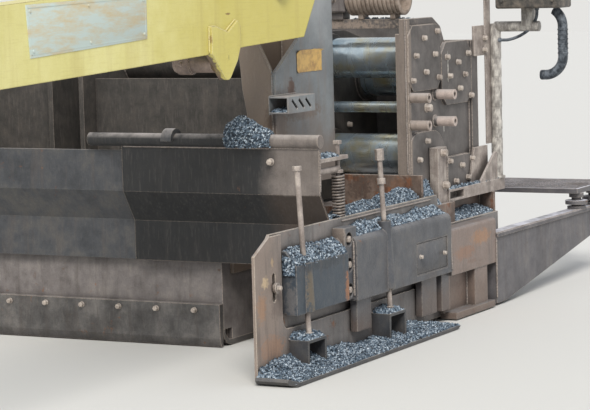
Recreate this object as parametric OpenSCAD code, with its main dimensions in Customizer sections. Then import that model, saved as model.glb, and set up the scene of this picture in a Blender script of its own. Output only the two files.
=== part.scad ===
// Extending screed of an asphalt paver, with its two tow arms.
// X points forward along the travel, Y to the left, Z up; the ground is at Z = 0.
// The origin lies on the ground under the middle of the main sole.
// Side pieces are drawn for the left and mirrored for the right.

/* [Main screed] */
// Length of the main sole along the travel
sole_l = 700; // [640:10:760]
// Half of the basic paving width
main_half = 950; // [930:5:960]
// Thickness of the sole plates
sole_t = 20; // [12:1:25]
// Height of the main frame's top
frame_h = 450; // [440:2:470]
// Thickness of the main frame's end plates
end_t = 20; // [12:1:30]
// Height of the turned-up front edge of the main sole
nose_h = 60; // [45:1:80]
// Thickness of the tamper bar
tamper_t = 25; // [16:1:32]
// Height of the tamper bar
tamper_h = 150; // [110:5:200]
// Radius of the bores in the lifting lugs
lug_r = 30; // [20:1:36]
// Thickness of the lifting lugs
lug_t = 30; // [20:1:40]

/* [Guide tubes] */
// Diameter of the guide tubes
tube_d = 150; // [130:2:156]
// Wall of the guide tubes
tube_wall = 12; // [8:1:20]
// Wall of the sleeves that the tubes slide in
sleeve_wall = 15; // [10:1:17]
// Distance of the front tubes behind the main sole
tube_x_front = 180; // [175:1:195]
// Distance of the rear tubes behind the main sole
tube_x_rear = 465; // [440:1:490]
// Height of the lower front tube
tube_z = 602; // [598:1:615]
// Height of the upper front tube above the lower one
tube_rise = 358; // [345:1:362]
// How far the rear tubes lie below the front ones
tube_drop = 85; // [60:1:86]
// Stroke of an extension outward from rest
stroke = 300; // [200:10:310]
// Stroke of an extension inward from rest
stroke_in = 190; // [120:10:190]
// Thickness of the bulkheads that hold the sleeves
bulkhead_t = 20; // [14:1:28]
// Diameter of the extension cylinder
cyl_d = 100; // [80:2:110]
// Diameter of the extension cylinder's rod
rod_d = 40; // [28:1:44]
// Distance of the cylinder behind the main sole
cyl_x = 125; // [110:1:135]
// Height of the cylinder
cyl_z = 780; // [772:1:786]

/* [Extension] */
// Outer end of the extension frame at rest
ext_out = 1400; // [1390:2:1420]
// Width of the extension frame
ext_w = 940; // [860:10:980]
// Length of the extension frame along the travel
ext_l = 643; // [610:5:700]
// Height of the extension frame's top
ext_h = 420; // [400:2:424]
// Gap between the main screed and the extension behind it
ext_gap = 7; // [6:1:12]
// Thickness of the carrier plate
carrier_t = 20; // [14:1:26]
// Height of the carrier plate's top
carrier_top = 1106; // [1098:1:1130]
// Height of the wall that closes the extension frame towards the shield
wall_top = 540; // [500:2:560]
// Inner end of that wall, short of the frame's outer end
wall_w = 325; // [280:5:340]
// Distance from the carrier plate's inner face to the outer end of the frame
carrier_in = 86; // [80:1:92]
// Outer diameter of the stub sleeves
stub_d = 37; // [30:1:44]
// Bore of the stub sleeves
stub_bore = 19; // [14:1:22]
// Length of the stub sleeves
stub_l = 84; // [60:2:100]

/* [Shield] */
// Distance of the shield's front face ahead of the main sole
shield_x = 115; // [108:1:125]
// Thickness of the shield plates
shield_t = 9; // [6:1:10]
// Height where the shield bends back
shield_bend = 548; // [535:1:560]
// Height of the shield's top edge
shield_top = 706; // [690:2:712]
// How far the shield's lower part steps back
apron_back = 70; // [50:1:76]
// Height of the slanted part between the two bends
apron_drop = 108; // [90:1:130]
// Height of the shield's lower edge
shield_low = 300; // [280:5:330]
// Diameter of the slide bar above the shield
bar_d = 46; // [36:1:50]

/* [Side plate and end gate] */
// Thickness of the fixed side plate
side_t = 10; // [8:1:14]
// Height of the side plate's top edge
side_top = 462; // [458:1:480]
// Front edge of the end gate ahead of the main sole's trailing edge
gate_front = 1320; // [1290:5:1350]
// Thickness of the end gate
gate_t = 10; // [8:1:14]
// Gap between the side plate and the end gate
gate_gap = 5; // [5:0.5:7]
// Height of the end gate's low part
band_top = 148; // [130:2:150]
// Height of the end gate's front strip
strip_top = 458; // [435:1:460]
// Width of the end gate's front strip
strip_w = 178; // [160:2:180]
// Travel of the end gate each way from rest
gate_travel = 35; // [20:1:36]
// Width of the ski outboard of the end gate
ski_w = 140; // [110:2:170]
// Thickness of the ski
ski_t = 12; // [8:1:16]
// Rear end of the ski ahead of the main sole's trailing edge
ski_rear = 67; // [40:1:90]
// Length of the ski's turned-up nose ahead of the gate
ski_nose = 18; // [16:1:36]
// Height of the foot brackets on the ski
foot_top = 110; // [90:1:112]
// Length of a foot bracket
foot_l = 130; // [110:2:140]

/* [Side housing] */
// Depth of the side housing outboard of the end gate
box_d = 44; // [40:1:55]
// Height of the side housing's top
box_top = 400; // [385:1:415]
// Height of the side housing's underside
box_low = 190; // [188:1:200]
// Diameter of the spindles
spindle_d = 18; // [14:1:22]
// Place of the front spindle ahead of the main sole's trailing edge
spindle_front = 1040; // [1020:1:1060]
// Place of the rear spindle ahead of the main sole's trailing edge
spindle_rear = 434; // [420:1:440]
// Height of the spindles' tops
spindle_top = 655; // [620:5:700]
// Lean of the spindles in degrees, top inwards
spindle_lean = 3; // [0:0.5:3]

/* [Spring] */
// Outer diameter of the spring
spring_d = 46; // [40:1:48]
// Diameter of the spring's wire
wire_d = 7; // [5:0.5:8]
// Number of turns of the spring
spring_turns = 14; // [10:1:15]

/* [Tow arm] */
// Inner face of the tow arm
arm_y = 1156; // [1155:1:1165]
// Thickness of the tow arm
arm_t = 94; // [80:1:110]
// Height of the arm's section at the rear
arm_h = 250; // [220:5:280]
// Distance of the tow eye ahead of the main sole's trailing edge
eye_x = 3200; // [3000:20:3400]
// Height of the tow eye
eye_z = 1060; // [1040:5:1080]
// Radius of the tow eye's bore
eye_r = 35; // [25:1:45]
// Radius of the pin that the arm turns on
pin_r = 30; // [22:1:34]
// Thickness of the ear plates
ear_t = 12; // [8:1:16]

/* [Walkway] */
// Length of the walkway along the travel
walk_l = 410; // [360:10:440]
// Height of the extension walkway's tread
walk_z = 363; // [360:1:368]
// Thickness of the extension walkway
walk_t = 20; // [16:1:24]
// Rear end of the walkway behind the main sole
walk_rear = 1750; // [1720:10:1780]
// Number of tread bars
tread_bars = 9; // [6:1:11]

/* [Control stand] */
// Diameter of the stand's pole
pole_d = 42; // [32:1:46]
// Height of the arm that carries the control box
stand_z = 1052; // [1040:2:1070]
// Width of the control box
box_w = 268; // [220:2:280]
// Diameter of the bent handle
handle_d = 34; // [26:1:38]

/* [Hidden] */
$fn = 48;

// Clearances
fit = 0.3;
slide_gap = 7;

// Trailing and leading edge of the main sole; places along the travel are counted from the trailing edge
te = -sole_l / 2;
le = sole_l / 2;

// Front and rear of the extension frame
ext_front = te - ext_gap;
ext_rear = ext_front - ext_l;
ext_in = ext_out - ext_w;
carrier_y = ext_out - carrier_in;
carrier_out = carrier_y + carrier_t;
carrier_rear = ext_rear + 28;
wall_t = 12;
notch_z = 345;
channel_rear = te - 765;
channel_top = ext_h + 44;

// Faces of the side plate, the gate and the side housing
side_y = ext_out + side_t;
gate_y = side_y + gate_gap;
gate_out = gate_y + gate_t;
box_out = gate_out + box_d;
box_in = gate_out + gate_gap;
keep_z = band_top + gate_travel + 15;
spindle_y = box_out - 19;
lean_z = 400;

// Guide tubes: distance behind the sole, height
tubes = [
    [tube_x_front, tube_z + tube_rise],
    [tube_x_front, tube_z],
    [tube_x_rear, tube_z + tube_rise - tube_drop],
    [tube_x_rear, tube_z - tube_drop]
];
tube_r = tube_d / 2;
sleeve_r = tube_r + fit + sleeve_wall;
bulkhead_out = main_half - 5;
bulkhead_in = 60;
notch_top = ext_h + 55;
tube_in = stroke + 12;

// Front faces of the two shields: the extension's slides ahead of the main one
shield_face = le + shield_x;
main_face = shield_face - shield_t - slide_gap;
main_shield_top = shield_top - 16;

// Places shared by several pieces
bar_x = shield_face - shield_t / 2;
bar_z = shield_top + bar_d / 2 - 1;
spring_x = te + 630;
spring_y = ext_out - 25;
spring_seat = side_top - 4;
spring_high = 609;
walk_in = 800;
slot_x = te + gate_front - 124;
slot_z = 292;
stand_x = te - 738;
stand_y = carrier_out + 41;
arm_pin = [te + 780, 1245];
ear_y = arm_y - 6;
beam_half = 45;
beam_top = walk_z + 10;

// Plates and bars between two planes
module along_y(y0, y1) translate([0, y1, 0]) rotate([90, 0, 0]) linear_extrude(y1 - y0) children();
module along_x(x0, x1) translate([x0, 0, 0]) rotate([90, 0, 90]) linear_extrude(x1 - x0) children();
module block(x0, x1, y0, y1, z0, z1) translate([x0, y0, z0]) cube([x1 - x0, y1 - y0, z1 - z0]);
module rod_y(r, x, z, y0, y1) translate([x, y0, z]) rotate([-90, 0, 0]) cylinder(r = r, h = y1 - y0);
module rod_z(r, x, y, z0, z1) translate([x, y, z0]) cylinder(r = r, h = z1 - z0);
module ring_y(r, bore, x, z, y0, y1) difference() {
    rod_y(r, x, z, y0, y1);
    rod_y(bore, x, z, y0 - 1, y1 + 1);
}
// Things on a spindle's leaning axis, drawn round Z with their true heights
module leaning(x) translate([x, spindle_y, lean_z]) rotate([spindle_lean, 0, 0])
    translate([0, 0, -lean_z]) children();
function arc(x, z, r, a0, a1, n) = [for (i = [0:n]) [x + r * cos(a0 + (a1 - a0) * i / n),
    z + r * sin(a0 + (a1 - a0) * i / n)]];

// A shield's section: upright, slanted back, then upright again down to its lower edge
module shield_section(x, top) {
    front = [[x, top], [x, shield_bend], [x - apron_back, shield_bend - apron_drop],
        [x - apron_back, shield_low]];
    polygon(concat(front, [for (i = [3:-1:0]) front[i] - [shield_t, 0]]));
}

module main_frame() color("dimgray") {
    // Box section behind the turned-up edge of the sole
    along_y(end_t - main_half, main_half - end_t) polygon([[te, sole_t], [le - 40, sole_t],
        [le - 12, nose_h - 16], [le - 12, nose_h], [le, nose_h], [le, frame_h], [te, frame_h]]);
    for (s = [-1, 1]) {
        // End plates
        block(te, le - 60, s * (main_half - end_t / 2) - end_t / 2, s * (main_half - end_t / 2) + end_t / 2,
            sole_t, frame_h);
        block(le - 61, le, s * (main_half - end_t / 2) - end_t / 2, s * (main_half - end_t / 2) + end_t / 2,
            nose_h, frame_h);
        // Lifting lugs
        along_y(s * 480 - lug_t / 2, s * 480 + lug_t / 2) difference() {
            union() {
                translate([te + 330, frame_h + 90]) circle(r = lug_r + 30);
                translate([te + 330 - lug_r - 30, frame_h - 1]) square([2 * lug_r + 60, 91]);
            }
            translate([te + 330, frame_h + 90]) circle(r = lug_r);
        }
        // Raised covers over the heater and the tamper drive
        block(te + 420, te + 620, s * 480 - 250, s * 480 + 250, frame_h - 1, frame_h + 12);
    }
}

module main_sole() color("gray") along_y(-main_half, main_half) polygon([[te, 0], [le - 55, 0], [le - 25, 8],
    [le - 6, 26], [le, nose_h - 14], [le, nose_h], [le - 12, nose_h], [le - 12, nose_h - 16],
    [le - 40, sole_t], [te, sole_t]]);

module tamper_bar() color("slategray") along_y(-main_half, main_half) polygon([[le, 1 + nose_h],
    [le + 6, 1], [le + tamper_t - 8, 1], [le + tamper_t, 30], [le + tamper_t, tamper_h], [le, tamper_h]]);

module main_shield() color("dimgray") {
    back = main_face - shield_t + 1;
    along_y(5 - main_half, main_half - 5) shield_section(main_face, main_shield_top);
    for (s = [-1, 1]) {
        // Gussets on the main frame
        for (y = [200, main_half - 100]) along_y(s * y - 6, s * y + 6) polygon([[le - 75, frame_h],
            [le, frame_h], [le, frame_h - 90], [back - apron_back, frame_h - 90],
            [back - apron_back, shield_bend - apron_drop], [back, shield_bend],
            [back, main_shield_top - 10], [back - 20, main_shield_top - 10]]);
        // Hook that guides the slide bar from behind and above
        along_y(s * (main_half - 120) - 20, s * (main_half - 120) + 20) {
            intersection() {
                difference() {
                    translate([bar_x, bar_z]) circle(r = bar_d / 2 + 17);
                    translate([bar_x, bar_z]) circle(r = bar_d / 2 + fit);
                }
                translate([bar_x - bar_d, bar_z - 2]) square([2 * bar_d, bar_d]);
            }
            polygon([[bar_x - bar_d / 2 - 17, main_shield_top - 50], [back, main_shield_top - 50],
                [back, main_shield_top], [bar_x - bar_d / 2 - 3, main_shield_top + 14],
                [bar_x - bar_d / 2 - 1, bar_z], [bar_x - bar_d / 2 - 17, bar_z]]);
        }
    }
}

module centre_beam() color("dimgray") {
    along_y(-beam_half, beam_half) polygon([[te, 260], [te, beam_top], [te - walk_rear, beam_top],
        [te - walk_rear, beam_top - 70], [te - 900, 300]]);
    // Cross bars under the centre walkway, short of the extension's walkway when it is drawn in
    for (x = [40, walk_l - 90]) block(te - walk_rear + x, te - walk_rear + x + 50, stroke_in + 10 - walk_in,
        walk_in - stroke_in - 10, beam_top - 45, beam_top);
}

// A walkway: a frame of flat bars filled with tread bars
module walkway(y0, y1, z0, z1) {
    x0 = te - walk_rear;
    x1 = x0 + walk_l;
    difference() {
        block(x0, x1, y0, y1, z0, z1);
        block(x0 + 12, x1 - 12, y0 + 12, y1 - 12, z0 - 1, z1 + 1);
    }
    for (i = [1:tread_bars]) translate([x0 + i * walk_l / (tread_bars + 1) - 4, y0 + 1, z0 + 6])
        cube([8, y1 - y0 - 2, z1 - z0 - 6]);
    for (y = [y0 + (y1 - y0) / 3, y1 - (y1 - y0) / 3]) block(x0 + 1, x1 - 1, y - 4, y + 4, z0 + 6, z1 - 4);
}

module walkway_centre() color("gray") walkway(-790, 790, beam_top, beam_top + 40);

module walkway_left() color("gray") walkway(walk_in, box_out, walk_z - walk_t, walk_z);

module ear_bracket() color("lightslategray") {
    // Outer plate, with a tongue behind the tow arm
    along_y(ear_y - ear_t, ear_y) polygon([[te + 218, 548], [te + 643, 548], [te + 643, 948],
        [te + 470, 1056], [te + 470, 1110], [te + 900, 1150], [te + 900, 1300], [te + 218, 1300]]);
    // Inner plate, bolted to the end of the main frame
    along_y(main_half, main_half + ear_t) polygon([[te + 218, 250], [te + 640, 250], [te + 640, 520],
        [te + 490, 570], [te + 490, 1300], [te + 218, 1300]]);
    // Plates across: the front one narrows downwards
    along_x(te + 630, te + 642) polygon([[ear_y - ear_t + 1, 548], [ear_y - ear_t + 1, 948],
        [ear_y - 60, 1045], [ear_y - 143, 1045], [ear_y - 130, 889], [ear_y - 105, 752], [ear_y - 70, 640],
        [ear_y - 60, 548]]);
    along_x(te + 230, te + 242) polygon([[main_half + ear_t - 1, 548], [ear_y - ear_t + 1, 548],
        [ear_y - ear_t + 1, 1240], [main_half + ear_t - 1, 1240]]);
    block(te + 240, te + 630, main_half + ear_t - 1, ear_y - ear_t + 1, 548, 560);
    // Stiffening strip along the rear edge
    block(te + 206, te + 219, ear_y - 40, ear_y, 548, 1300);
    // Pin that the tow arm turns on, with its head
    rod_y(pin_r, arm_pin[0], arm_pin[1], ear_y - ear_t - 30, arm_y + arm_t + 6);
    rod_y(pin_r + 14, arm_pin[0], arm_pin[1], ear_y - ear_t - 25, ear_y - ear_t + 1);
    rod_y(pin_r + 12, arm_pin[0], arm_pin[1], arm_y + arm_t + 5, arm_y + arm_t + 16);
    vent_channel();
}

// Open channel with three slanted slots, on the outer face of the ear
module vent_channel() difference() {
    block(te + 496, te + 693, ear_y - 1, ear_y + 75, 811, 869);
    block(te + 501, te + 700, ear_y + 1, ear_y + 70, 816, 864);
    for (i = [0:2]) translate([te + 546 + 50 * i, ear_y + 76, 841]) rotate([90, 0, 0]) linear_extrude(10)
        rotate(40) square([50, 11], center = true);
}

module tow_arm() color("khaki") difference() {
    union() {
        along_y(arm_y, arm_y + arm_t) difference() {
            union() {
                polygon([[te + 613, 1069], [te + 1026, 1054], [te + 1287, 1038], [te + 1736, 1021],
                    [te + 2412, 998], [te + eye_x, eye_z - 95], [te + eye_x, eye_z + 95],
                    [te + 2412, 998 + arm_h - 20], [te + 606, 1065 + arm_h], [te + 530, 1055 + arm_h],
                    [te + 505, 1240], [te + 526, 1192]]);
                translate([te + eye_x, eye_z]) circle(r = 95);
            }
            translate([te + eye_x, eye_z]) circle(r = eye_r);
            translate(arm_pin) circle(r = pin_r + fit);
        }
        // Lobe plate, proud of the arm's outer face and hanging below it
        along_y(arm_y + arm_t - 15, arm_y + arm_t + 12) polygon(concat([[te + 1260, 1041], [te + 1258, 1127],
            [te + 1230, 1127], [te + 1156, 1106], [te + 1092, 1142], [te + 1072, 1122], [te + 1074, 1062],
            [te + 1097, 1014]], arc(te + 1164, 982, 28, 215, 325, 6)));
        // Bosses round the tow eye
        rod_y(75, te + eye_x, eye_z, arm_y - 12, arm_y + arm_t + 12);
        // Cross pipe stub held by the lobe
        rod_y(27, te + 1200, 1010, arm_y - 60, arm_y + arm_t - 14);
        rod_y(34, te + 1200, 1010, arm_y - 35, arm_y - 5);
    }
    rod_y(eye_r, te + eye_x, eye_z, arm_y - 13, arm_y + arm_t + 13);
}

module tube_housing() color("dimgray") difference() {
    // Bulkheads that hold the sleeves, raised at the rear over the extension's frame
    for (y = [bulkhead_in, bulkhead_out - bulkhead_t]) along_y(y, y + bulkhead_t) polygon([
        [te - tube_x_rear - 95, notch_top], [te - 330, notch_top], [te - 330, ext_h + 16], [te - 5, ext_h + 16],
        [te - 5, frame_h], [te + 200, frame_h], [te + 200, 980], [te + 120, 1060], [te - 300, 1060],
        [te - tube_x_rear - 95, 1000]]);
    for (t = tubes) rod_y(sleeve_r + fit, te - t[0], t[1], bulkhead_in - 1, bulkhead_out + 1);
    rod_y(cyl_d / 2 + 2, te - cyl_x, cyl_z, bulkhead_out - bulkhead_t - 1, bulkhead_out + 1);
    // Notch that lets the extension's wall slide in past the outer bulkhead
    block(ext_front - wall_t - 7, te, bulkhead_out - bulkhead_t - 1, bulkhead_out + 1, ext_h, wall_top + 7);
}

// Web between the bulkheads, on the main frame
module housing_web() color("dimgray")
    block(te + 100, te + 112, bulkhead_in + bulkhead_t, bulkhead_out - bulkhead_t, frame_h, 900);

module sleeves() color("slategray")
    for (t = tubes) ring_y(sleeve_r, tube_r + fit, te - t[0], t[1], bulkhead_in, bulkhead_out + 15);

module cylinder_barrel() color("gray") difference() {
    union() {
        rod_y(cyl_d / 2, te - cyl_x, cyl_z, bulkhead_in + bulkhead_t, bulkhead_out);
        rod_y(cyl_d / 2 + 8, te - cyl_x, cyl_z, bulkhead_out, bulkhead_out + 15);
    }
    rod_y(cyl_d / 2 - 10, te - cyl_x, cyl_z, bulkhead_in + bulkhead_t + 20, bulkhead_out - 5);
    rod_y(rod_d / 2 + fit, te - cyl_x, cyl_z, bulkhead_out - 10, bulkhead_out + 20);
}

module cylinder_rod() color("silver") {
    piston_y = bulkhead_in + bulkhead_t + 20 + stroke + 150;
    rod_y(rod_d / 2, te - cyl_x, cyl_z, piston_y, carrier_y);
    rod_y(cyl_d / 2 - 10 - fit, te - cyl_x, cyl_z, piston_y - 30, piston_y + 1);
}

module guide_tubes() color("silver")
    for (t = tubes) ring_y(tube_r, tube_r - tube_wall, te - t[0], t[1], tube_in, carrier_y);

// Octagonal flange in X and Z
module octagon(x, z, w, h, c) translate([x, z]) polygon([[-w / 2, -h / 2 + c], [-w / 2 + c, -h / 2],
    [w / 2 - c, -h / 2], [w / 2, -h / 2 + c], [w / 2, h / 2 - c], [w / 2 - c, h / 2],
    [-w / 2 + c, h / 2], [-w / 2, h / 2 - c]]);

module carrier() color("dimgray") {
    face = carrier_out;
    difference() {
        union() {
            // Plate that stands on the extension frame, behind the frame's wall
            along_y(carrier_y, face) polygon([[carrier_rear, ext_h], [ext_front - wall_t - 1, ext_h],
                [ext_front - wall_t - 1, wall_top], [ext_front, wall_top], [ext_front, carrier_top],
                [te - 247, carrier_top], [te - 316, carrier_top - 36], [te - 349, carrier_top - 93],
                [carrier_rear, carrier_top - 99]]);
            // Strips along the front edge and the rear edge
            block(ext_front - 22, ext_front, carrier_y - 2, face + 10, wall_top, carrier_top);
            block(ext_front - 22, ext_front, carrier_y - 18, carrier_y - 1, wall_top, carrier_top - 53);
            block(carrier_rear, carrier_rear + 57, face - 1, face + 14, ext_h + 70, carrier_top - 99);
            // Flanges at the tube ends
            along_y(face - 1, face + 14) {
                octagon(te - 147, tubes[0][1] + 1, 278, 240, 36);
                octagon(te - 428, tubes[2][1] + 17, 271, 234, 40);
                octagon(te - 436, tubes[3][1] - 8, 256, 138, 28);
            }
            along_y(face - 1, face + 12) intersection() {
                union() {
                    for (x = [90, 210]) translate([te - x, tubes[1][1] - 16]) circle(r = 103);
                    translate([te - 210, tubes[1][1] - 119]) square([120, 206]);
                }
                translate([te - 400, ext_h]) square([400 + ext_front - wall_t - 1 - te, 400]);
            }
            // Rail along the top
            block(te - 120, te - 80, 640, carrier_y + 1, carrier_top - 34, carrier_top);
            // Rear wall behind the guide tubes, taller towards the middle
            along_x(carrier_rear, carrier_rear + 12) polygon([[carrier_y - 614, ext_h], [carrier_y + 1, ext_h],
                [carrier_y + 1, carrier_top - 99], [carrier_y - 180, carrier_top - 99],
                [carrier_y - 270, carrier_top - 48], [carrier_y - 614, carrier_top - 48]]);
            for (x = [28, 253], z = [720, 820]) rod_y(stub_d / 2, te - x, z, face - 1, face + stub_l);
        }
        for (x = [28, 253], z = [720, 820]) rod_y(stub_bore / 2, te - x, z, face, face + stub_l + 1);
    }
}

// Corrugated conduit on the rail, with the clamp at its inner end
module conduit() color("tan") {
    y0 = carrier_y - 240;
    n = 13;
    pitch = 17;
    translate([te - 100, y0, carrier_top + 79]) rotate([-90, 0, 0]) rotate_extrude() polygon(concat([[0, 0]],
        [for (i = [0:n - 1]) each [[60, pitch * i], [66, pitch * i + 5], [66, pitch * i + 11],
            [60, pitch * (i + 1)]]], [[0, pitch * n]]));
    for (y = [y0 + 40, y0 + 170]) block(te - 125, te - 75, y, y + 20, carrier_top, carrier_top + 24);
    block(te - 152, te - 48, y0 - 96, y0 + 1, carrier_top + 28, carrier_top + 136);
    block(te - 130, te - 70, y0 - 70, y0 - 20, carrier_top, carrier_top + 29);
}

module extension_frame() color("dimgray") {
    difference() {
        union() {
            block(ext_rear, ext_front, ext_in, ext_out, sole_t, ext_h);
            // Wall that closes the frame towards the shield
            block(ext_front - wall_t, ext_front, ext_out - wall_w, ext_out - 10, ext_h - 1, wall_top);
            // Ribs on the rear wall
            for (i = [0:3]) block(ext_rear - 12, ext_rear + 1, ext_in + 60 + 250 * i, ext_in + 72 + 250 * i,
                sole_t + 20, ext_h - 20);
        }
        // Recess under the channel, open to the side
        block(ext_rear + wall_t, te - 270, ext_out - 60, ext_out + 1, notch_z, ext_h + 1);
        // Access openings in the rear wall
        for (i = [0:2]) block(ext_rear - 1, ext_rear + 18, ext_in + 110 + 250 * i, ext_in + 280 + 250 * i,
            150, 300);
    }
}

module extension_sole() color("gray") along_y(ext_in, ext_out) polygon([[ext_rear - 6, sole_t],
    [ext_rear - 6, 6], [ext_rear, 0], [ext_front - 10, 0], [ext_front, 10], [ext_front, sole_t]]);

module side_plate() color("rosybrown") {
    along_y(ext_out, side_y) polygon([[ext_rear, sole_t - 8], [te + gate_front - 30, sole_t - 8],
        [te + gate_front - 30, side_top - 90], [te + gate_front - 130, side_top], [te - 90, side_top],
        [te - 110, notch_z + 20], [te - 160, notch_z], [ext_rear, notch_z]]);
    // Ledge behind the shield
    block(ext_front, le + 30, ext_out - 110, ext_out + 1, side_top - 26, side_top - 16);
    // Shoulder pin in the slot of the end gate
    rod_y(10, slot_x, slot_z, side_y - 1, gate_out + gate_gap + 8);
    rod_y(17, slot_x, slot_z, gate_out + gate_gap, gate_out + gate_gap + 9);
}

// Section of the side housing in Y and Z: it is fixed above the gate and hangs over it
module housing_section(z0, z1, out, r) polygon(concat([[side_y, keep_z], [box_in, keep_z], [box_in, z0],
    [out, z0]], arc(out - r, z1 - r, r, 0, 90, 6), [[side_y, z1]]));

module side_housing() color("rosybrown") difference() {
    union() {
        // Front box with its slanted top and the guide of the front spindle
        along_x(te + 752, te + gate_front - 196) polygon([[side_y, keep_z], [box_in, keep_z],
            [box_in, box_low + 3], [box_out, box_low + 3], [box_out, box_top - 48], [box_in, box_top],
            [side_y, box_top]]);
        leaning(te + spindle_front) translate([0, 0, box_low + 5])
            cylinder(r = 26, h = box_top - box_low - 50);
        // Flange between the boxes
        along_x(te + 664, te + 753) housing_section(box_low, 434, box_out - 14, 4);
        // Middle box
        along_x(te - 82, te + 690) housing_section(box_low - 8, box_top, box_out, 26);
        leaning(te + spindle_rear) translate([0, 0, box_low]) cylinder(r = 24, h = box_top + 26 - box_low);
        // Rear section
        along_x(te - 491, te - 81) polygon(concat([[side_y, 167], [box_out, 167]],
            arc(box_out - 14, 324, 14, 0, 90, 4), [[side_y, 338]]));
        // Keepers that hold the end gate
        block(te + 562, te + 670, box_in, box_in + 25, 72, box_low + 1);
        block(te + 27, te + 150, box_in, box_in + 25, 48, box_low);
        block(te - 90, te - 20, side_y, box_in + 25, 44, box_low);
        // Wall and box under the rear section, and the foot
        block(te - 491, te - 89, side_y, box_in, 25, 168);
        block(te - 412, te - 296, side_y, box_out - 4, 25, 168);
        block(te - 456, te - 100, side_y, box_out + 8, 3, 28);
    }
    for (x = [spindle_front, spindle_rear]) leaning(te + x)
        translate([0, 0, box_low - 30]) cylinder(r = spindle_d / 2 + 4, h = 300);
    // Wide bolt holes in the flange
    for (z = [221, 307, 393]) rod_y(24, te + 716, z, box_out - 34, box_out);
    // Recess of the cover
    block(te - 47, te + 218, box_out - 3, box_out + 1, 204, 322);
}

module shield_plate() color("rosybrown") {
    along_y(630, ext_out) shield_section(shield_face, shield_top);
    // Slide bar welded along the top edge
    rod_y(bar_d / 2, bar_x, bar_z, stroke + 200, ext_out + 5);
}

module spring_post() color("gray") {
    rod_z(8, spring_x, spring_y, side_top - 16, 719);
    block(spring_x - 11, spring_x + 11, spring_y - 11, spring_y + 11, 706, 719);
    rod_z(spring_d / 2, spring_x, spring_y, side_top - 16, spring_seat);
    rod_z(18, spring_x, spring_y, spring_high + fit, spring_high + 10);
    // Bracket plate from the shield, and the round bar under it
    block(spring_x - 40, shield_face - shield_t, spring_y - 30, spring_y + 20, 655, 668);
    translate([spring_x, spring_y, spring_high + 14]) rotate([0, 90, 0])
        cylinder(r = 11, h = shield_face - shield_t - spring_x);
}

// Round coil spring: a ring of points swept along a helix with closed ends
module spring() color("dimgray") {
    seg = 12;
    sides = 6;
    steps = spring_turns * seg;
    low = spring_seat + fit + wire_d / 2;
    lift = (spring_high - low - wire_d / 2) / steps;
    rings = [for (i = [0:steps]) [for (k = [0:sides - 1]) let (a = 360 * i / seg, b = 360 * k / sides,
        r = spring_d / 2 - wire_d / 2 + wire_d / 2 * cos(b)) [spring_x + r * cos(a), spring_y + r * sin(a),
        low + lift * i + wire_d / 2 * sin(b)]]];
    polyhedron(points = [for (q = rings) each q], faces = concat([[for (k = [0:sides - 1]) k]],
        [for (i = [0:steps - 1], k = [0:sides - 1]) [i * sides + k, (i + 1) * sides + k,
            (i + 1) * sides + (k + 1) % sides, i * sides + (k + 1) % sides]],
        [[for (k = [sides - 1:-1:0]) steps * sides + k]]));
}

module post() color("rosybrown") {
    post_y = carrier_out + 16;
    block(te - 240, te - 164, post_y, ext_out - 15, ext_h, 627);
    // Channel towards the rear: open beside the post, closed behind
    difference() {
        block(channel_rear, te - 239, post_y, ext_out - 8, ext_h, channel_top);
        block(te - 376, te - 250, post_y + 8, ext_out - 7, ext_h + 8, channel_top - 8);
    }
    // Gussets on the channel
    along_y(post_y, post_y + 10) polygon([[te - 680, channel_top - 1], [te - 512, channel_top - 1],
        [te - 552, ext_h + 177], [te - 677, ext_h + 177]]);
    along_y(ext_out - 18, ext_out - 10) polygon([[te - 700, channel_top - 1], [te - 530, channel_top - 1],
        [te - 680, ext_h + 150], [te - 700, ext_h + 150]]);
}

module rear_arm() color("rosybrown") {
    // Tapered arm behind the side housing, with its top flange
    along_y(gate_y, box_out) polygon([[te - 491, 8], [te - 491, 262], [te - 1620, 262], [te - 1620, 178],
        [te - 575, 8]]);
    block(te - 1620, te - 491, side_y, box_out + 8, 262, 276);
    // Inner arm behind the extension frame
    along_y(820, 860) polygon([[ext_rear, 200], [ext_rear, walk_z - 60], [te - 1620, walk_z - 60],
        [te - 1620, walk_z - 120]]);
    // Rubber mounts under the walkway
    for (x = [1390, 1580]) {
        rod_z(38, te - x, gate_y + 30, 275, 288);
        rod_z(20, te - x, gate_y + 30, 287, walk_z - walk_t);
        rod_z(46, te - x, gate_y + 30, 296, 312);
        rod_z(30, te - x, gate_y + 30, 325, walk_z - walk_t);
        rod_z(18, te - x, 840, walk_z - 61, walk_z - walk_t);
    }
}

// Pole on the channel, with the arm, control box and bent handle of the operator's stand
module control_stand() color("silver") {
    bend = 75;
    grip_y = stand_y + 280;
    box_y = grip_y + 26 - box_w;
    box_z = stand_z + 70;
    rod_z(pole_d / 2, stand_x, stand_y, channel_top, stand_z + 12);
    rod_z(pole_d / 2 + 9, stand_x, stand_y, channel_top, channel_top + 10);
    // Bracket bolted to the carrier's rear strip, and the flat bar beside the pole
    block(stand_x, carrier_rear + 47, carrier_out + 14 + fit, carrier_out + 24, stand_z - 107, stand_z + 8);
    block(stand_x + 18, stand_x + 68, carrier_out + 22, carrier_out + 29, stand_z - 450, stand_z + 178);
    // Arm, clamp and control box
    rod_y(20, stand_x, stand_z, stand_y, stand_y + 185);
    block(stand_x - 22, stand_x + 22, stand_y + 118, stand_y + 162, stand_z, box_z + 1);
    block(stand_x - 32, stand_x + 88, box_y, box_y + box_w, box_z, box_z + 150);
    // Handle bent back under the box
    rod_z(handle_d / 2, stand_x, grip_y, stand_z - 92, box_z + 1);
    translate([stand_x, grip_y - bend, stand_z - 92]) rotate([0, 90, 0])
        rotate_extrude(angle = 90) translate([bend, 0]) circle(r = handle_d / 2 - 1);
    rod_y(handle_d / 2, stand_x, stand_z - 92 - bend, grip_y - bend - 22, grip_y - bend);
}

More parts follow.
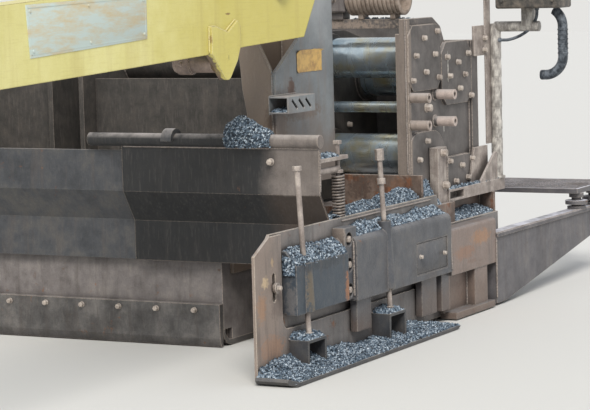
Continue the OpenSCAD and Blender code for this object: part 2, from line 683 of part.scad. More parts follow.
module end_gate() color("rosybrown") difference() {
    along_y(gate_y, gate_out) polygon(concat([[te + ski_rear, ski_t], [te + gate_front, ski_t],
        [te + gate_front, strip_top - 52], [te + gate_front - 100, strip_top],
        [te + gate_front - strip_w, strip_top]],
        arc(te + gate_front - strip_w - 36, band_top + 36, 36, 0, -90, 4), [[te + ski_rear, band_top]]));
    // Slot round the shoulder pin
    along_y(gate_y - 1, gate_out + 1) translate([slot_x, slot_z]) {
        for (s = [-1, 1]) translate([0, s * (gate_travel + 2)]) circle(r = 10 + fit);
        square([20 + 2 * fit, 2 * gate_travel + 4], center = true);
    }
}

module ski() color("dimgray") {
    nose = te + gate_front + ski_nose;
    difference() {
        union() {
            along_y(gate_y, gate_out + 1) polygon([[te + ski_rear, 8], [te + ski_rear + 20, 0],
                [nose - 28, 0], [nose - 20, ski_t], [te + ski_rear, ski_t]]);
            along_y(gate_out, gate_out + ski_w) polygon([[te + ski_rear, 8], [te + ski_rear + 20, 0],
                [nose - 28, 0], [nose - 8, 6], [nose, 16], [nose - 4, ski_t + 14], [nose - 36, ski_t],
                [te + ski_rear, ski_t]]);
        }
        // Corner cut off the nose
        translate([nose, gate_out + ski_w, -1]) rotate(45) cube([36, 36, 200], center = true);
    }
    for (x = [spindle_front, spindle_rear]) {
        block(te + x - foot_l / 2, te + x + foot_l / 2, gate_out, gate_out + 70, foot_top - 10, foot_top);
        for (s = [-1, 1]) block(te + x + s * (foot_l / 2 - 5) - 5, te + x + s * (foot_l / 2 - 5) + 5,
            gate_out, gate_out + 70, ski_t - 1, foot_top - 9);
    }
}

module spindles() color("gray") {
    r = spindle_d / 2;
    for (x = [spindle_front, spindle_rear]) {
        // Round seat on the foot bracket, then the rod and its lower collar
        rod_z(r + 9, te + x, spindle_y + 15, foot_top, foot_top + 7);
        leaning(te + x) translate([0, 0, foot_top + 3]) cylinder(r = r, h = spindle_top - foot_top - 3);
        leaning(te + x) translate([0, 0, foot_top + 4]) cylinder(r = r + 5, h = 13);
    }
    leaning(te + spindle_front) translate([0, 0, spindle_top - 1]) cylinder(r = r + 6, h = 15, $fn = 6);
    leaning(te + spindle_rear) {
        translate([0, 0, spindle_top - 102]) cylinder(r = r + 6, h = 20);
        translate([0, 0, spindle_top - 20]) cylinder(r = r + 7, h = 40, $fn = 6);
    }
}

main_frame();
main_sole();
tamper_bar();
main_shield();
centre_beam();
walkway_centre();
ear_bracket();  // ear_bracket_left
mirror([0, 1, 0]) ear_bracket();  // ear_bracket_right
tow_arm();  // tow_arm_left
mirror([0, 1, 0]) tow_arm();  // tow_arm_right
tube_housing();  // tube_housing_left
mirror([0, 1, 0]) tube_housing();  // tube_housing_right
housing_web();  // housing_web_left
mirror([0, 1, 0]) housing_web();  // housing_web_right
sleeves();  // sleeves_left
mirror([0, 1, 0]) sleeves();  // sleeves_right
cylinder_barrel();  // cylinder_left
mirror([0, 1, 0]) cylinder_barrel();  // cylinder_right
cylinder_rod();  // cylinder_rod_left
mirror([0, 1, 0]) cylinder_rod();  // cylinder_rod_right
guide_tubes();  // guide_tubes_left
mirror([0, 1, 0]) guide_tubes();  // guide_tubes_right
carrier();  // carrier_left
mirror([0, 1, 0]) carrier();  // carrier_right
conduit();  // conduit_left
mirror([0, 1, 0]) conduit();  // conduit_right
extension_frame();  // extension_frame_left
mirror([0, 1, 0]) extension_frame();  // extension_frame_right
extension_sole();  // extension_sole_left
mirror([0, 1, 0]) extension_sole();  // extension_sole_right
side_plate();  // side_plate_left
mirror([0, 1, 0]) side_plate();  // side_plate_right
side_housing();  // side_housing_left
mirror([0, 1, 0]) side_housing();  // side_housing_right
shield_plate();  // shield_left
mirror([0, 1, 0]) shield_plate();  // shield_right
spring_post();  // spring_post_left
mirror([0, 1, 0]) spring_post();  // spring_post_right
spring();  // spring_left
mirror([0, 1, 0]) spring();  // spring_right
post();  // post_left
mirror([0, 1, 0]) post();  // post_right
rear_arm();  // rear_arm_left
mirror([0, 1, 0]) rear_arm();  // rear_arm_right
walkway_left();
mirror([0, 1, 0]) walkway_left();  // walkway_right
control_stand();  // control_stand_left
mirror([0, 1, 0]) control_stand();  // control_stand_right
end_gate();  // end_gate_left
mirror([0, 1, 0]) end_gate();  // end_gate_right
ski();  // ski_left
mirror([0, 1, 0]) ski();  // ski_right
spindles();  // spindles_left
mirror([0, 1, 0]) spindles();  // spindles_right
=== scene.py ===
import math
import random

import bmesh
import bpy
import numpy as np
from mathutils import Matrix, Vector, noise


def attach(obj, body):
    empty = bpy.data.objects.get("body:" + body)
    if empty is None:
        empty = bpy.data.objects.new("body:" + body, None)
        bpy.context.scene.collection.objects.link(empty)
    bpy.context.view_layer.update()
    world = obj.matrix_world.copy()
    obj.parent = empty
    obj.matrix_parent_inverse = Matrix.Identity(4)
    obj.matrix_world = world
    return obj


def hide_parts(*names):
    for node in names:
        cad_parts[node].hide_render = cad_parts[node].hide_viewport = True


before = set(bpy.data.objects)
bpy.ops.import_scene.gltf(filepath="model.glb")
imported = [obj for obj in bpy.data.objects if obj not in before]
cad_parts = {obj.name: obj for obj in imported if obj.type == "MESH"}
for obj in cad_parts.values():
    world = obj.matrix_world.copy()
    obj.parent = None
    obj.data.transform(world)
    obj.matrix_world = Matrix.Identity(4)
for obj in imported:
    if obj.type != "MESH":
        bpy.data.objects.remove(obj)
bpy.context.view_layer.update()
sides = {"left": 1, "right": -1}


def newObject(name, data):
    obj = bpy.data.objects.new(name, data)
    bpy.context.scene.collection.objects.link(obj)
    return obj


# Camera at the photograph's place: ahead of the screed, looking back and inward, headed from -Y towards -X
cameraSettings = {"place": (7.500, 5.065, 1.336), "heading": 61.88, "down": 5.87, "roll": 1.56, "lens": 146.4}


def makeCamera(s):
    heading, down, roll = (math.radians(s[k]) for k in ("heading", "down", "roll"))
    forward = Vector((-math.sin(heading) * math.cos(down), -math.cos(heading) * math.cos(down), -math.sin(down)))
    right = Vector((-math.cos(heading), math.sin(heading), 0))
    up = right.cross(forward)
    tiltedRight = math.cos(roll) * right - math.sin(roll) * up
    tiltedUp = math.sin(roll) * right + math.cos(roll) * up
    data = bpy.data.cameras.new("photoCamera")
    data.lens = s["lens"]
    data.clip_end = 100
    camera = newObject("photoCamera", data)
    turn = Matrix((tiltedRight, tiltedUp, -forward)).transposed().to_4x4()
    camera.matrix_world = Matrix.Translation(s["place"]) @ turn
    bpy.context.scene.camera = camera


makeCamera(cameraSettings)
print("camera placed")


metre = 1000  # looks and shapes are given in millimetres


# Small helpers for materials: most add one node and give its output
def linear(code):
    parts = [int(code[i:i + 2], 16) / 255 for i in (1, 3, 5)]
    return tuple(c / 12.92 if c <= 0.04045 else ((c + 0.055) / 1.055) ** 2.4 for c in parts) + (1.0,)


def perMillimetre(size):
    return metre / size  # texture scale for a feature of that many millimetres


def newMaterial(name):
    mat = bpy.data.materials.new(name)
    mat.use_nodes = True
    mat.node_tree.nodes.clear()
    return mat


def addNode(mat, kind, inputs=None, stops=None, **settings):
    node = mat.node_tree.nodes.new("ShaderNode" + kind)
    for key, value in settings.items():
        setattr(node, key, value)
    for key, value in (inputs or {}).items():
        if isinstance(value, bpy.types.NodeSocket):
            mat.node_tree.links.new(value, node.inputs[key])
        else:
            node.inputs[key].default_value = value
    for i, (at, code) in enumerate(stops or []):
        stop = node.color_ramp.elements[i] if i < 2 else node.color_ramp.elements.new(at)
        stop.position = at
        stop.color = linear(code)
    return node


def placeOf(mat, stretch=(1.0, 1.0, 1.0)):
    place = addNode(mat, "TexCoord").outputs["Object"]
    return addNode(mat, "Mapping", {"Vector": place, "Scale": stretch}).outputs["Vector"]


def noiseOf(mat, place, size, detail, roughness=0.5, distortion=0.0):
    return addNode(mat, "TexNoise", {"Vector": place, "Scale": perMillimetre(size), "Detail": detail,
                                     "Roughness": roughness, "Distortion": distortion}).outputs["Fac"]


def ramp(mat, value, *stops):
    return addNode(mat, "ValToRGB", {"Fac": value}, stops).outputs["Color"]


def span(mat, value, low, high, least=0.0, most=1.0):
    return addNode(mat, "MapRange", {"Value": value, "From Min": low, "From Max": high, "To Min": least,
                                     "To Max": most}).outputs["Result"]


def maths(mat, operation, *values):
    return addNode(mat, "Math", dict(enumerate(values)), operation=operation).outputs["Value"]


def blend(mat, amount, under, top, kind="MIX"):
    return addNode(mat, "Mix", {0: amount, 6: under, 7: top}, data_type="RGBA", blend_type=kind).outputs[2]


def bumped(mat, height, strength, distance):
    return addNode(mat, "Bump", {"Height": height, "Strength": strength, "Distance": distance / metre})


def surface(mat, colour, roughness, bump=None, metallic=0.0):
    shader = addNode(mat, "BsdfPrincipled", {"Base Color": colour, "Roughness": roughness, "Metallic": metallic})
    if bump:
        mat.node_tree.links.new(bump.outputs["Normal"], shader.inputs["Normal"])
    addNode(mat, "OutputMaterial", {"Surface": shader.outputs["BSDF"]})
    return mat


# Limits of the masks below, on noise that runs from about 0.3 to 0.7, on shelter, or on how far a normal turns (the
# worn edge limits also bound the painted edge highlight).
# Each noise has its detail, roughness and distortion.
maskSettings = {"tones": (0.36, 0.50, 0.66), "stain": (1.0, 0.62), "tornAmount": 2.6, "streak": (0.52, 0.70),
                "streakStretch": (1.0, 1.0, 0.10), "drawn": (0.54, 0.66), "rustSoft": 0.05,
                "rustShades": (0.38, 0.60), "corner": (0.80, 0.30), "worn": (0.985, 0.88), "broken": (0.36, 0.50),
                "upward": (0.25, 0.95), "dustAndSheenSpread": (0.32, 0.55), "wide": (0.3, 0.7), "roughSpread": 0.12,
                "gritHeight": 0.6, "bumpDistance": 2, "noise": {
                    "patch": (6.0, 0.68), "torn": (6.0, 0.7), "streak": (4.0, 0.6), "drawn": (3.0, 0.6),
                    "island": (9.0, 0.72, 0.4), "grit": (4.0, 0.75)}}


# Weathered metal, steel or paint: large soft patches, sharp rust islands, streaks, grime and painted shade in the
# corners, paler edges that are worn and also painted as highlights, and dust on upper faces, in some looks with a
# painted pale sheen
def weathered(name, look, m):
    mat = newMaterial(name)
    place = addNode(mat, "TexCoord").outputs["Object"]
    axes = addNode(mat, "SeparateXYZ", {"Vector": place}).outputs
    along = {"X": axes["X"], "Y": maths(mat, "ABSOLUTE", axes["Y"]), "Z": axes["Z"]}
    sided = addNode(mat, "CombineXYZ", along).outputs["Vector"]
    normal = addNode(mat, "NewGeometry").outputs["Normal"]

    def over(under, code, value, low, high, most=1.0):
        return blend(mat, span(mat, value, low, high, 0.0, most), under, linear(code))

    def cloud(kind, stretch=(1.0, 1.0, 1.0)):
        return noiseOf(mat, placeOf(mat, stretch), look[kind], *m["noise"][kind])

    def ragged(value, texture, amount):
        return maths(mat, "ADD", value, maths(mat, "MULTIPLY", maths(mat, "SUBTRACT", texture, 0.5), amount))

    patches = cloud("patch")
    colour = ramp(mat, patches, *zip(m["tones"], look["tones"]))
    # Zones: a border across the piece where another film or dust begins
    for axis, start, end, code, amount, torn in look["zones"]:
        colour = over(colour, code, ragged(along[axis], patches, torn / metre), start / metre, end / metre, amount)
    # Stains: soft spots with a torn rim
    for spot, reach, code, amount in look["stains"]:
        away = sided
        for operation, by in (("SUBTRACT", spot), ("DIVIDE", reach)):
            away = addNode(mat, "VectorMath", {0: away, 1: Vector(by) / metre}, operation=operation).outputs["Vector"]
        far = addNode(mat, "VectorMath", {0: away}, operation="LENGTH").outputs["Value"]
        colour = over(colour, code, ragged(far, cloud("torn"), m["tornAmount"]), *m["stain"], amount)
    # Streaks run down the walls, and a finer drawn grain along or down them
    streaks = cloud("streak", m["streakStretch"])
    colour = over(colour, look["streakColour"], streaks, *m["streak"], look["streakAmount"])
    drawn = cloud("drawn", look["drawnStretch"])
    colour = over(colour, look["drawnColour"], drawn, *m["drawn"], look["drawnAmount"])
    # Rust in islands with a dark rim
    islands = cloud("island")
    rustMask = span(mat, islands, look["rustFrom"], look["rustFrom"] + m["rustSoft"], 0.0, look["rustAmount"])
    rust = ramp(mat, streaks, *zip(m["rustShades"], (look["rustDark"], look["rust"])))
    colour = blend(mat, rustMask, colour, rust)
    # Grime and painted shade darken the faces where they meet in a corner
    shelter = addNode(mat, "AmbientOcclusion", {"Distance": look["crevice"] / metre}, samples=6).outputs["AO"]
    colour = over(colour, look["grimeAndShade"], shelter, *m["corner"], look["grimeAndShadeAmount"])
    # Edges, found where a rounded normal leaves the flat one, take the rim colour: wear, and where it is pale also a
    # painted highlight
    rounded = addNode(mat, "Bevel", {"Radius": look["edge"] / metre}, samples=4).outputs["Normal"]
    turned = addNode(mat, "VectorMath", {0: rounded, 1: normal}, operation="DOT_PRODUCT").outputs["Value"]
    grit = cloud("grit")
    rim = linear(look["edgeColour"])
    # Edge highlight zones give the rims past their border a painted highlight colour
    for axis, start, end, code in look["edgeHighlightZones"]:
        rim = over(rim, code, along[axis], start / metre, end / metre)
    edges = maths(mat, "MULTIPLY", span(mat, turned, *m["worn"], 0.0, look["edgeAmount"]),
                  span(mat, grit, *m["broken"]))
    colour = blend(mat, edges, colour, rim)
    # Dust on upper faces; in the pale bluish looks it is also a painted sheen on the tops
    upward = addNode(mat, "SeparateXYZ", {"Vector": normal}).outputs["Z"]
    lying = maths(mat, "MULTIPLY", span(mat, upward, *m["upward"], 0.0, look["dustAndSheenAmount"]),
                  span(mat, patches, *m["dustAndSheenSpread"]))
    colour = blend(mat, lying, colour, linear(look["dustAndSheen"]))
    # Fine speckle of grit
    speck = span(mat, grit, *m["wide"], 1 - look["speck"], 1 + look["speck"])
    colour = blend(mat, 1.0, colour, speck, "MULTIPLY")
    rough = span(mat, islands, *m["wide"], look["roughness"] - m["roughSpread"], look["roughness"] + m["roughSpread"])
    height = maths(mat, "ADD", maths(mat, "MULTIPLY", grit, m["gritHeight"]), maths(mat, "ADD", islands, patches))
    bump = bumped(mat, height, look["bump"], m["bumpDistance"])
    mat.node_tree.links.new(rounded, bump.inputs["Normal"])
    return surface(mat, colour, rough, bump, look["metallic"])


# What every look starts from. Its tones run from shade to light. A zone is axis, start, end, colour, amount and
# raggedness; an edge highlight zone, where the rims take a painted highlight colour past its border, ends with its
# colour. A stain is place, reach, colour and amount, mirrored to the right.
steelLook = {
    "tones": ("#635D5B", "#787270", "#8C8580"), "patch": 120, "zones": [], "stains": [], "torn": 12,
    "streak": 26, "streakAmount": 0.45, "streakColour": "#544D49",
    "drawn": 8, "drawnStretch": (1.0, 1.0, 0.16), "drawnColour": "#A0968F", "drawnAmount": 0.09,
    "island": 70, "rustFrom": 0.62, "rustAmount": 0.85, "rust": "#8A5F42", "rustDark": "#5E4436",
    # Corner darkening: grime and painted shade
    "crevice": 50, "grimeAndShade": "#3A3635", "grimeAndShadeAmount": 0.75,
    # Rim colour: wear, and where pale also a painted highlight along the edges
    "edge": 4, "edgeAmount": 0.85, "edgeColour": "#C2B3A6", "edgeHighlightZones": [],
    "grit": 5, "speck": 0.16, "dustAndSheen": "#B3ACA8", "dustAndSheenAmount": 0.75,
    "roughness": 0.55, "metallic": 0.0, "bump": 0.4,
}
looks = {
    # Alkyd paint on the tow arms, chalky in the sun, with rust where stones have chipped its edges, and a painted
    # cream highlight on the rims that stand proud
    "armPaint": {"tones": ("#D8CF82", "#E2DA91", "#EAE3A0"), "patch": 420, "streakAmount": 0.35,
        "streakColour": "#B6A25A", "streak": 90, "drawn": 4, "drawnStretch": (0.06, 1, 1), "drawnColour": "#A58D50",
        "drawnAmount": 0.1, "island": 38, "rustFrom": 0.7, "rust": "#80563A", "rustDark": "#4C3626",
        "edgeColour": "#7C5C40", "edgeAmount": 0.75, "edge": 5, "dustAndSheen": "#C3B98E", "dustAndSheenAmount": 0.4,
        # Corner darkening of the arm: grime and painted shade
        "roughness": 0.5, "speck": 0.04, "bump": 0.12, "grimeAndShade": "#6A5A38", "grimeAndShadeAmount": 0.6,
        "zones": [("X", 1500, 700, "#D0C264", 0.75, 1200)],
        # Painted cream highlight on the rims of the lobe plate that stands proud of the arm
        "edgeHighlightZones": [("Y", 1250.5, 1251.2, "#F3E8BC")],
        "stains": [((782, 1250, 1165), (18, 100, 4), "#7E5C36", 0.8),
          ((887, 1238, 1010), (45, 20, 50), "#6C5B53", 0.95), ((850, 1238, 972), (40, 20, 35), "#6C5B53", 0.95),
          ((812, 1238, 962), (40, 20, 30), "#6C5B53", 0.9), ((872, 1264, 997), (4, 10, 10), "#5E4B35", 0.7),
          ((858, 1264, 982), (6, 10, 6), "#5E4B35", 0.7), ((806, 1264, 1024), (4, 10, 12), "#6E6038", 0.5),
          ((909, 1262, 1088), (4, 100, 14), "#8A6340", 0.7)]},
    # Blue-grey machine enamel under road dust, browner towards the ground
    "earPaint": {"tones": ("#6D7275", "#7B8083", "#8B9194"), "patch": 240, "streakAmount": 0.35,
        "streakColour": "#85766C", "streak": 40, "drawnAmount": 0.12, "island": 60, "rustFrom": 0.69,
        "edgeColour": "#B4ABA3", "roughness": 0.48, "speck": 0.06, "bump": 0.14,
        "zones": [("Z", 1040, 1200, "#A6A9AB", 0.8, 300), ("Z", 920, 620, "#7D6E63", 0.8, 500),
          ("Y", 1137.2, 1136.8, "#857567", 0.9, 0)],
        "stains": [((178, 1150, 893), (30, 50, 35), "#5B4032", 0.9),
          ((100, 1150, 800), (160, 50, 30), "#6F5D50", 0.6), ((270, 1150, 760), (60, 50, 140), "#6E5A4C", 0.6)]},
    # Bare fabricated steel, heated and dusted by the mix: warm grey with rust
    "screedSteel": {},
    # The carrier's thick plate, its rims pale with wear and a painted highlight; stubs and strips stand proud and are
    # beige with dust
    "carrierSteel": {"tones": ("#514D4B", "#605C5A", "#716B68"), "rustFrom": 0.68, "streakAmount": 0.3,
        "drawnStretch": (1, 1, 0.06), "edgeColour": "#CFBFB0", "edgeAmount": 0.95,
        "zones": [("Y", 1348.8, 1349.6, "#C4B4AB", 0.95, 0), ("X", -382, -378, "#8F8278", 0.7, 0)],
        "stains": [((-450, 950, 1085), (40, 420, 30), "#A09184", 0.8),
          ((-700, 1348, 910), (6, 10, 60), "#CFCBC2", 0.8), ((-683, 1334, 700), (5, 10, 30), "#CFCBC2", 0.8)]},
    # Steel inside the tube housing, dark with oil and soot
    "housingSteel": {"tones": ("#3A3835", "#45423F", "#524D48"), "rustFrom": 0.66, "edgeColour": "#8F857B",
        "dustAndSheen": "#6F6862", "dustAndSheenAmount": 0.5, "patch": 60},
    # Pressed side boxes, brushed by the mix: dark blue-grey, the rear section rusty beige
    "boxSteel": {"tones": ("#44464B", "#525459", "#636160"), "drawnAmount": 0.2, "drawn": 7, "drawnColour": "#6E6B68",
        "dustAndSheen": "#8A8A8D", "dustAndSheenAmount": 0.6, "rustFrom": 0.66, "roughness": 0.42, "edgeColour": "#9C948C", "grit": 7,
        "bump": 0.7, "edgeAmount": 0.7, "edge": 6,
        "zones": [("X", 399, 403, "#37434E", 0.9, 10), ("X", -430, -434, "#8C7A70", 0.85, 10),
          ("Z", 180, 90, "#6E5D52", 0.6, 300)],
        "stains": [((412, 1469, 235), (20, 50, 55), "#A06A44", 0.85),
          ((408, 1440, 410), (20, 60, 50), "#94867B", 0.9), ((690, 1469, 265), (28, 50, 100), "#6E6250", 0.75),
          ((781, 1445, 240), (20, 30, 70), "#6C6A6A", 0.8), ((640, 1469, 150), (140, 50, 20), "#5E5850", 0.6),
          ((580, 1469, 345), (200, 50, 30), "#2C343C", 0.75), ((-550, 1469, 240), (100, 50, 30), "#946A4E", 0.6),
          ((-700, 1469, 280), (100, 50, 30), "#A37A59", 0.75), ((-620, 1469, 200), (50, 50, 10), "#7A6052", 0.6)]},
    # End gate: dusty steel, beige on its tall front strip, its rims pale with wear and a painted highlight
    "gateSteel": {"tones": ("#6C6967", "#7D7977", "#8B8480"), "bump": 0.55, "edgeColour": "#E0D2BE", "edgeAmount": 1.0,
        "zones": [("X", 720, 860, "#968579", 0.75, 250)],
        "stains": [((904, 1425, 316), (24, 50, 22), "#CDB592", 0.8), ((854, 1425, 377), (10, 50, 22), "#C4A988", 0.7),
          ((929, 1425, 235), (35, 50, 50), "#A8805F", 0.6), ((870, 1425, 100), (90, 50, 50), "#A5826A", 0.7),
          ((830, 1425, 230), (50, 50, 50), "#6E625B", 0.5)]},
    # Shield: beige dust above the bend, dark brown below it with rust lower down, and a painted cast shadow, dark
    # blue-black, over the part towards the middle
    "shieldSteel": {"tones": ("#665E59", "#736B66", "#827973"), "rustFrom": 0.66, "edgeColour": "#CDBDAE",
        "edgeAmount": 0.7, "drawnAmount": 0.05, "streakAmount": 0.25, "streakColour": "#3E3A38",
        "zones": [("Z", 553, 545, "#392E27", 0.92, 30), ("Z", 420, 300, "#5E432E", 0.5, 300),
          # Towards the middle: a painted cast shadow
          ("Y", 1245, 1165, "#13171B", 0.95, 80)]},
    # Steel that the hot mix rubs: dark, blue-grey
    "soiledSteel": {"tones": ("#34363A", "#434549", "#565452"), "drawnAmount": 0.04, "rustFrom": 0.64,
        "rust": "#7E5234", "roughness": 0.45, "edgeColour": "#8C8983", "edgeAmount": 0.6},
    # Rusty plate, orange-brown
    "rustyPlate": {"tones": ("#554840", "#6F5E54", "#8A796D"), "rustFrom": 0.52, "rust": "#8E5C3E",
        "rustDark": "#553B2E", "patch": 90,
        "stains": [((-370, 1300, 500), (200, 40, 35), "#90603F", 0.35),
          ((-370, 1140, 500), (200, 50, 60), "#4A3A33", 0.7)]},
    # Brown pipe pushed over the arm's stub, rusted evenly under the dust
    "pipeSteel": {"tones": ("#64564F", "#7C6C63", "#948379"), "rustFrom": 0.66, "patch": 70, "drawnAmount": 0.03,
        "edgeColour": "#B5A396"},
    # Pale dusted steel of bars, strips and rods
    "paleSteel": {"tones": ("#857A73", "#9B9089", "#BBB0A6"), "rustFrom": 0.66, "patch": 60, "island": 25,
        "edgeColour": "#DACFC4", "drawnStretch": (1, 1, 0.08)},
    # Rolled arms and walkway at the rear, with dust and a painted bluish-white highlight lying pale on their tops
    # Pale bluish tops: dust and a painted highlight
    "rearSteel": {"tones": ("#565457", "#656366", "#74706F"), "dustAndSheen": "#CFCFD8", "dustAndSheenAmount": 1.0, "rustFrom": 0.63},
    # Zinc-plated bolts gone beige under the dust
    "boltZinc": {"tones": ("#93877E", "#B5A89D", "#CFC5B9"), "patch": 25, "island": 12, "rustFrom": 0.64, "grit": 2.5,
        "edge": 2, "edgeColour": "#E4DACB", "edgeAmount": 0.6, "roughness": 0.45, "bump": 0.2, "crevice": 12},
    # Oil-tempered spring wire, dark with a dusty sheen
    "springSteel": {"tones": ("#4A423D", "#6B6058", "#9C8F82"), "patch": 30, "island": 12, "rustFrom": 0.66,
        "roughness": 0.42, "edge": 1, "crevice": 12},
    # Sole and tamper: scoured by the mix
    "wearSteel": {"tones": ("#484645", "#5E5C5B", "#7A7673"), "metallic": 0.4, "roughness": 0.45},
}
mats = {name: weathered(name, {**steelLook, **look}, maskSettings) for name, look in looks.items()}


# Guide tube: hard-chromed and ground steel, its blue tones a painted sky reflection, with an oil film and a drawn
# grain round it
tubeLook = {"round": (0.15, 1.0, 0.15), "bands": 60, "film": 140, "grain": 3,
            # Blue-grey tones are a painted sky reflection; the last, yellow tone is oil
            "shades": ((0.32, "#94AABA"), (0.50, "#C6D5DF"), (0.70, "#CFC292")),
            "oil": "#D6C68C", "oilFrom": 1220, "oilTo": 1310, "oilAmount": 0.6,
            "gloss": (0.3, 0.7, 0.14, 0.36), "bump": (0.12, 0.4), "metallic": 0.82}


def groundTube(name, s):
    mat = newMaterial(name)
    place, rings = placeOf(mat), placeOf(mat, s["round"])
    bands = noiseOf(mat, rings, s["bands"], 4.0)
    film = noiseOf(mat, place, s["film"], 6.0, 0.65)
    fine = noiseOf(mat, rings, s["grain"], 2.0)
    across = maths(mat, "ABSOLUTE", addNode(mat, "SeparateXYZ", {"Vector": place}).outputs["Y"])
    oil = span(mat, across, s["oilFrom"] / metre, s["oilTo"] / metre, 0.0, s["oilAmount"])
    # Painted sky reflection in blue-grey tones, with the oil over it near the outer end
    colour = blend(mat, oil, ramp(mat, film, *s["shades"]), linear(s["oil"]))
    return surface(mat, colour, span(mat, bands, *s["gloss"]), bumped(mat, fine, *s["bump"]), s["metallic"])


# Asphalt crumbs: dark bitumen film on stone chips, some chips bare and pale
crumbLook = {"stone": 6, "grain": 3, "grainAmount": 0.15, "roughness": 0.42,
             "shades": ((0.08, "#252E38"), (0.42, "#4B5B6A"), (0.76, "#758696"), (0.95, "#C2CDD6"))}


def asphaltCrumb(name, s):
    mat = newMaterial(name)
    place = placeOf(mat)
    cells = addNode(mat, "TexVoronoi", {"Vector": place, "Scale": perMillimetre(s["stone"])}).outputs["Color"]
    pick = addNode(mat, "SeparateColor", {"Color": cells}).outputs["Red"]
    grain = noiseOf(mat, place, s["grain"], 3.0)
    shade = maths(mat, "ADD", pick, span(mat, grain, 0.35, 0.65, -s["grainAmount"], s["grainAmount"]))
    return surface(mat, ramp(mat, shade, *s["shades"]), s["roughness"], bumped(mat, grain, 0.5, 1))


# Plastic, rubber or vinyl film with dust and faded colour
def fadedFilm(name, base, worn, roughness, stretch=(1.0, 1.0, 1.0)):
    mat = newMaterial(name)
    wear = noiseOf(mat, placeOf(mat, stretch), 30, 6.0, 0.7)
    return surface(mat, ramp(mat, wear, (0.42, base), (0.66, worn)), roughness, bumped(mat, wear, 0.2, 1))


# Each film's colour, its worn colour, its roughness and how far its spots are stretched
films = {
    "plateFilm": ("#C6D4CE", "#CDBB92", 0.45, (0.22, 1.0, 1.0)),
    "tapedPole": ("#8A8580", "#DAD5CC", 0.4, (1.6, 1.6, 0.7)),
    "boxPlastic": ("#4B4946", "#7D746A", 0.5),
    "orangeVinyl": ("#DFB870", "#B08A5C", 0.4),
    "ribbedPlastic": ("#A6978A", "#7C6E63", 0.55),
    "gripRubber": ("#272E36", "#7C838B", 0.42),
}
mats["groundTube"] = groundTube("groundTube", tubeLook)
mats["asphaltCrumb"] = asphaltCrumb("asphaltCrumb", crumbLook)
mats.update({name: fadedFilm(name, *film) for name, film in films.items()})
print("materials made:", len(mats))


# Materials of the CAD nodes, each for both sides
nodeFinish = {
    "screedSteel": ["main_frame"], "soiledSteel": ["main_shield", "ski"], "shieldSteel": ["shield"],
    "wearSteel": ["main_sole", "tamper_bar", "extension_sole"], "boxSteel": ["side_housing"],
    "rearSteel": ["centre_beam", "walkway_centre", "rear_arm", "walkway"], "earPaint": ["ear_bracket"],
    "armPaint": ["tow_arm"], "housingSteel": ["tube_housing", "housing_web", "sleeves", "cylinder"],
    "groundTube": ["cylinder_rod", "guide_tubes"], "carrierSteel": ["carrier"], "ribbedPlastic": ["conduit"],
    "rustyPlate": ["extension_frame"], "gateSteel": ["side_plate", "end_gate"],
    "paleSteel": ["spring_post", "spring", "post", "spindles"], "tapedPole": ["control_stand"],
}
finishOf = {node: finish for finish, nodes in nodeFinish.items() for node in nodes}
for name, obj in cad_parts.items():
    plain = name.removesuffix("_left").removesuffix("_right")
    obj.data.materials.clear()
    obj.data.materials.append(mats[finishOf[plain]])


# Modelled pieces are drawn in millimetres for the left side, and turned over in Y for the right
def finishPiece(name, bm, finish, body, side, smooth=35):
    name, body = name + "_" + side, body if body == "main" else body + "_" + side
    bmesh.ops.scale(bm, vec=Vector((1, sides[side], 1)) / metre, verts=bm.verts)
    bmesh.ops.recalc_face_normals(bm, faces=bm.faces)
    mesh = keepMesh(bm, name)
    mesh.shade_smooth()
    mesh.set_sharp_from_angle(angle=math.radians(smooth))
    mesh.materials.append(mats[finish])
    obj = newObject(name, mesh)
    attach(obj, body)
    return obj


def keepMesh(bm, name):
    mesh = bpy.data.meshes.new(name)
    bm.to_mesh(mesh)
    bm.free()
    return mesh


def stamp(bm, mesh, matrix):
    mesh.transform(matrix)
    bm.from_mesh(mesh)
    mesh.transform(matrix.inverted())


def edgesOf(verts):
    return list({e for v in verts for e in v.link_edges})


def roundOff(bm, edges, offset, segments):
    bmesh.ops.bevel(bm, geom=edges, offset=offset, offset_type="OFFSET", segments=segments, profile=0.5,
                    affect="EDGES", material=-1)


def addBox(bm, low, high, bevel=0.0, segments=2):
    low, high = Vector(low), Vector(high)
    place = Matrix.LocRotScale((low + high) / 2, None, high - low)
    made = bmesh.ops.create_cube(bm, size=1.0, matrix=place)["verts"]
    if bevel:
        roundOff(bm, edgesOf(made), bevel, segments)


def addRod(bm, start, end, radius, count=24, bevel=0.0):
    start, end = Vector(start), Vector(end)
    along = end - start
    turn = Matrix.Translation((start + end) / 2) @ along.to_track_quat("Z", "Y").to_matrix().to_4x4()
    made = bmesh.ops.create_cone(bm, cap_ends=True, segments=count, radius1=radius, radius2=radius,
                                 depth=along.length, matrix=turn)["verts"]
    if bevel:
        rims = [e for e in edgesOf(made)
                if abs((e.verts[0].co - e.verts[1].co).normalized().dot(along.normalized())) < 0.5]
        roundOff(bm, rims, bevel, 2)


def addRing(bm, radius, count, matrix):
    made = bmesh.ops.create_circle(bm, cap_ends=False, segments=count, radius=radius, matrix=matrix)["verts"]
    return made, edgesOf(made)


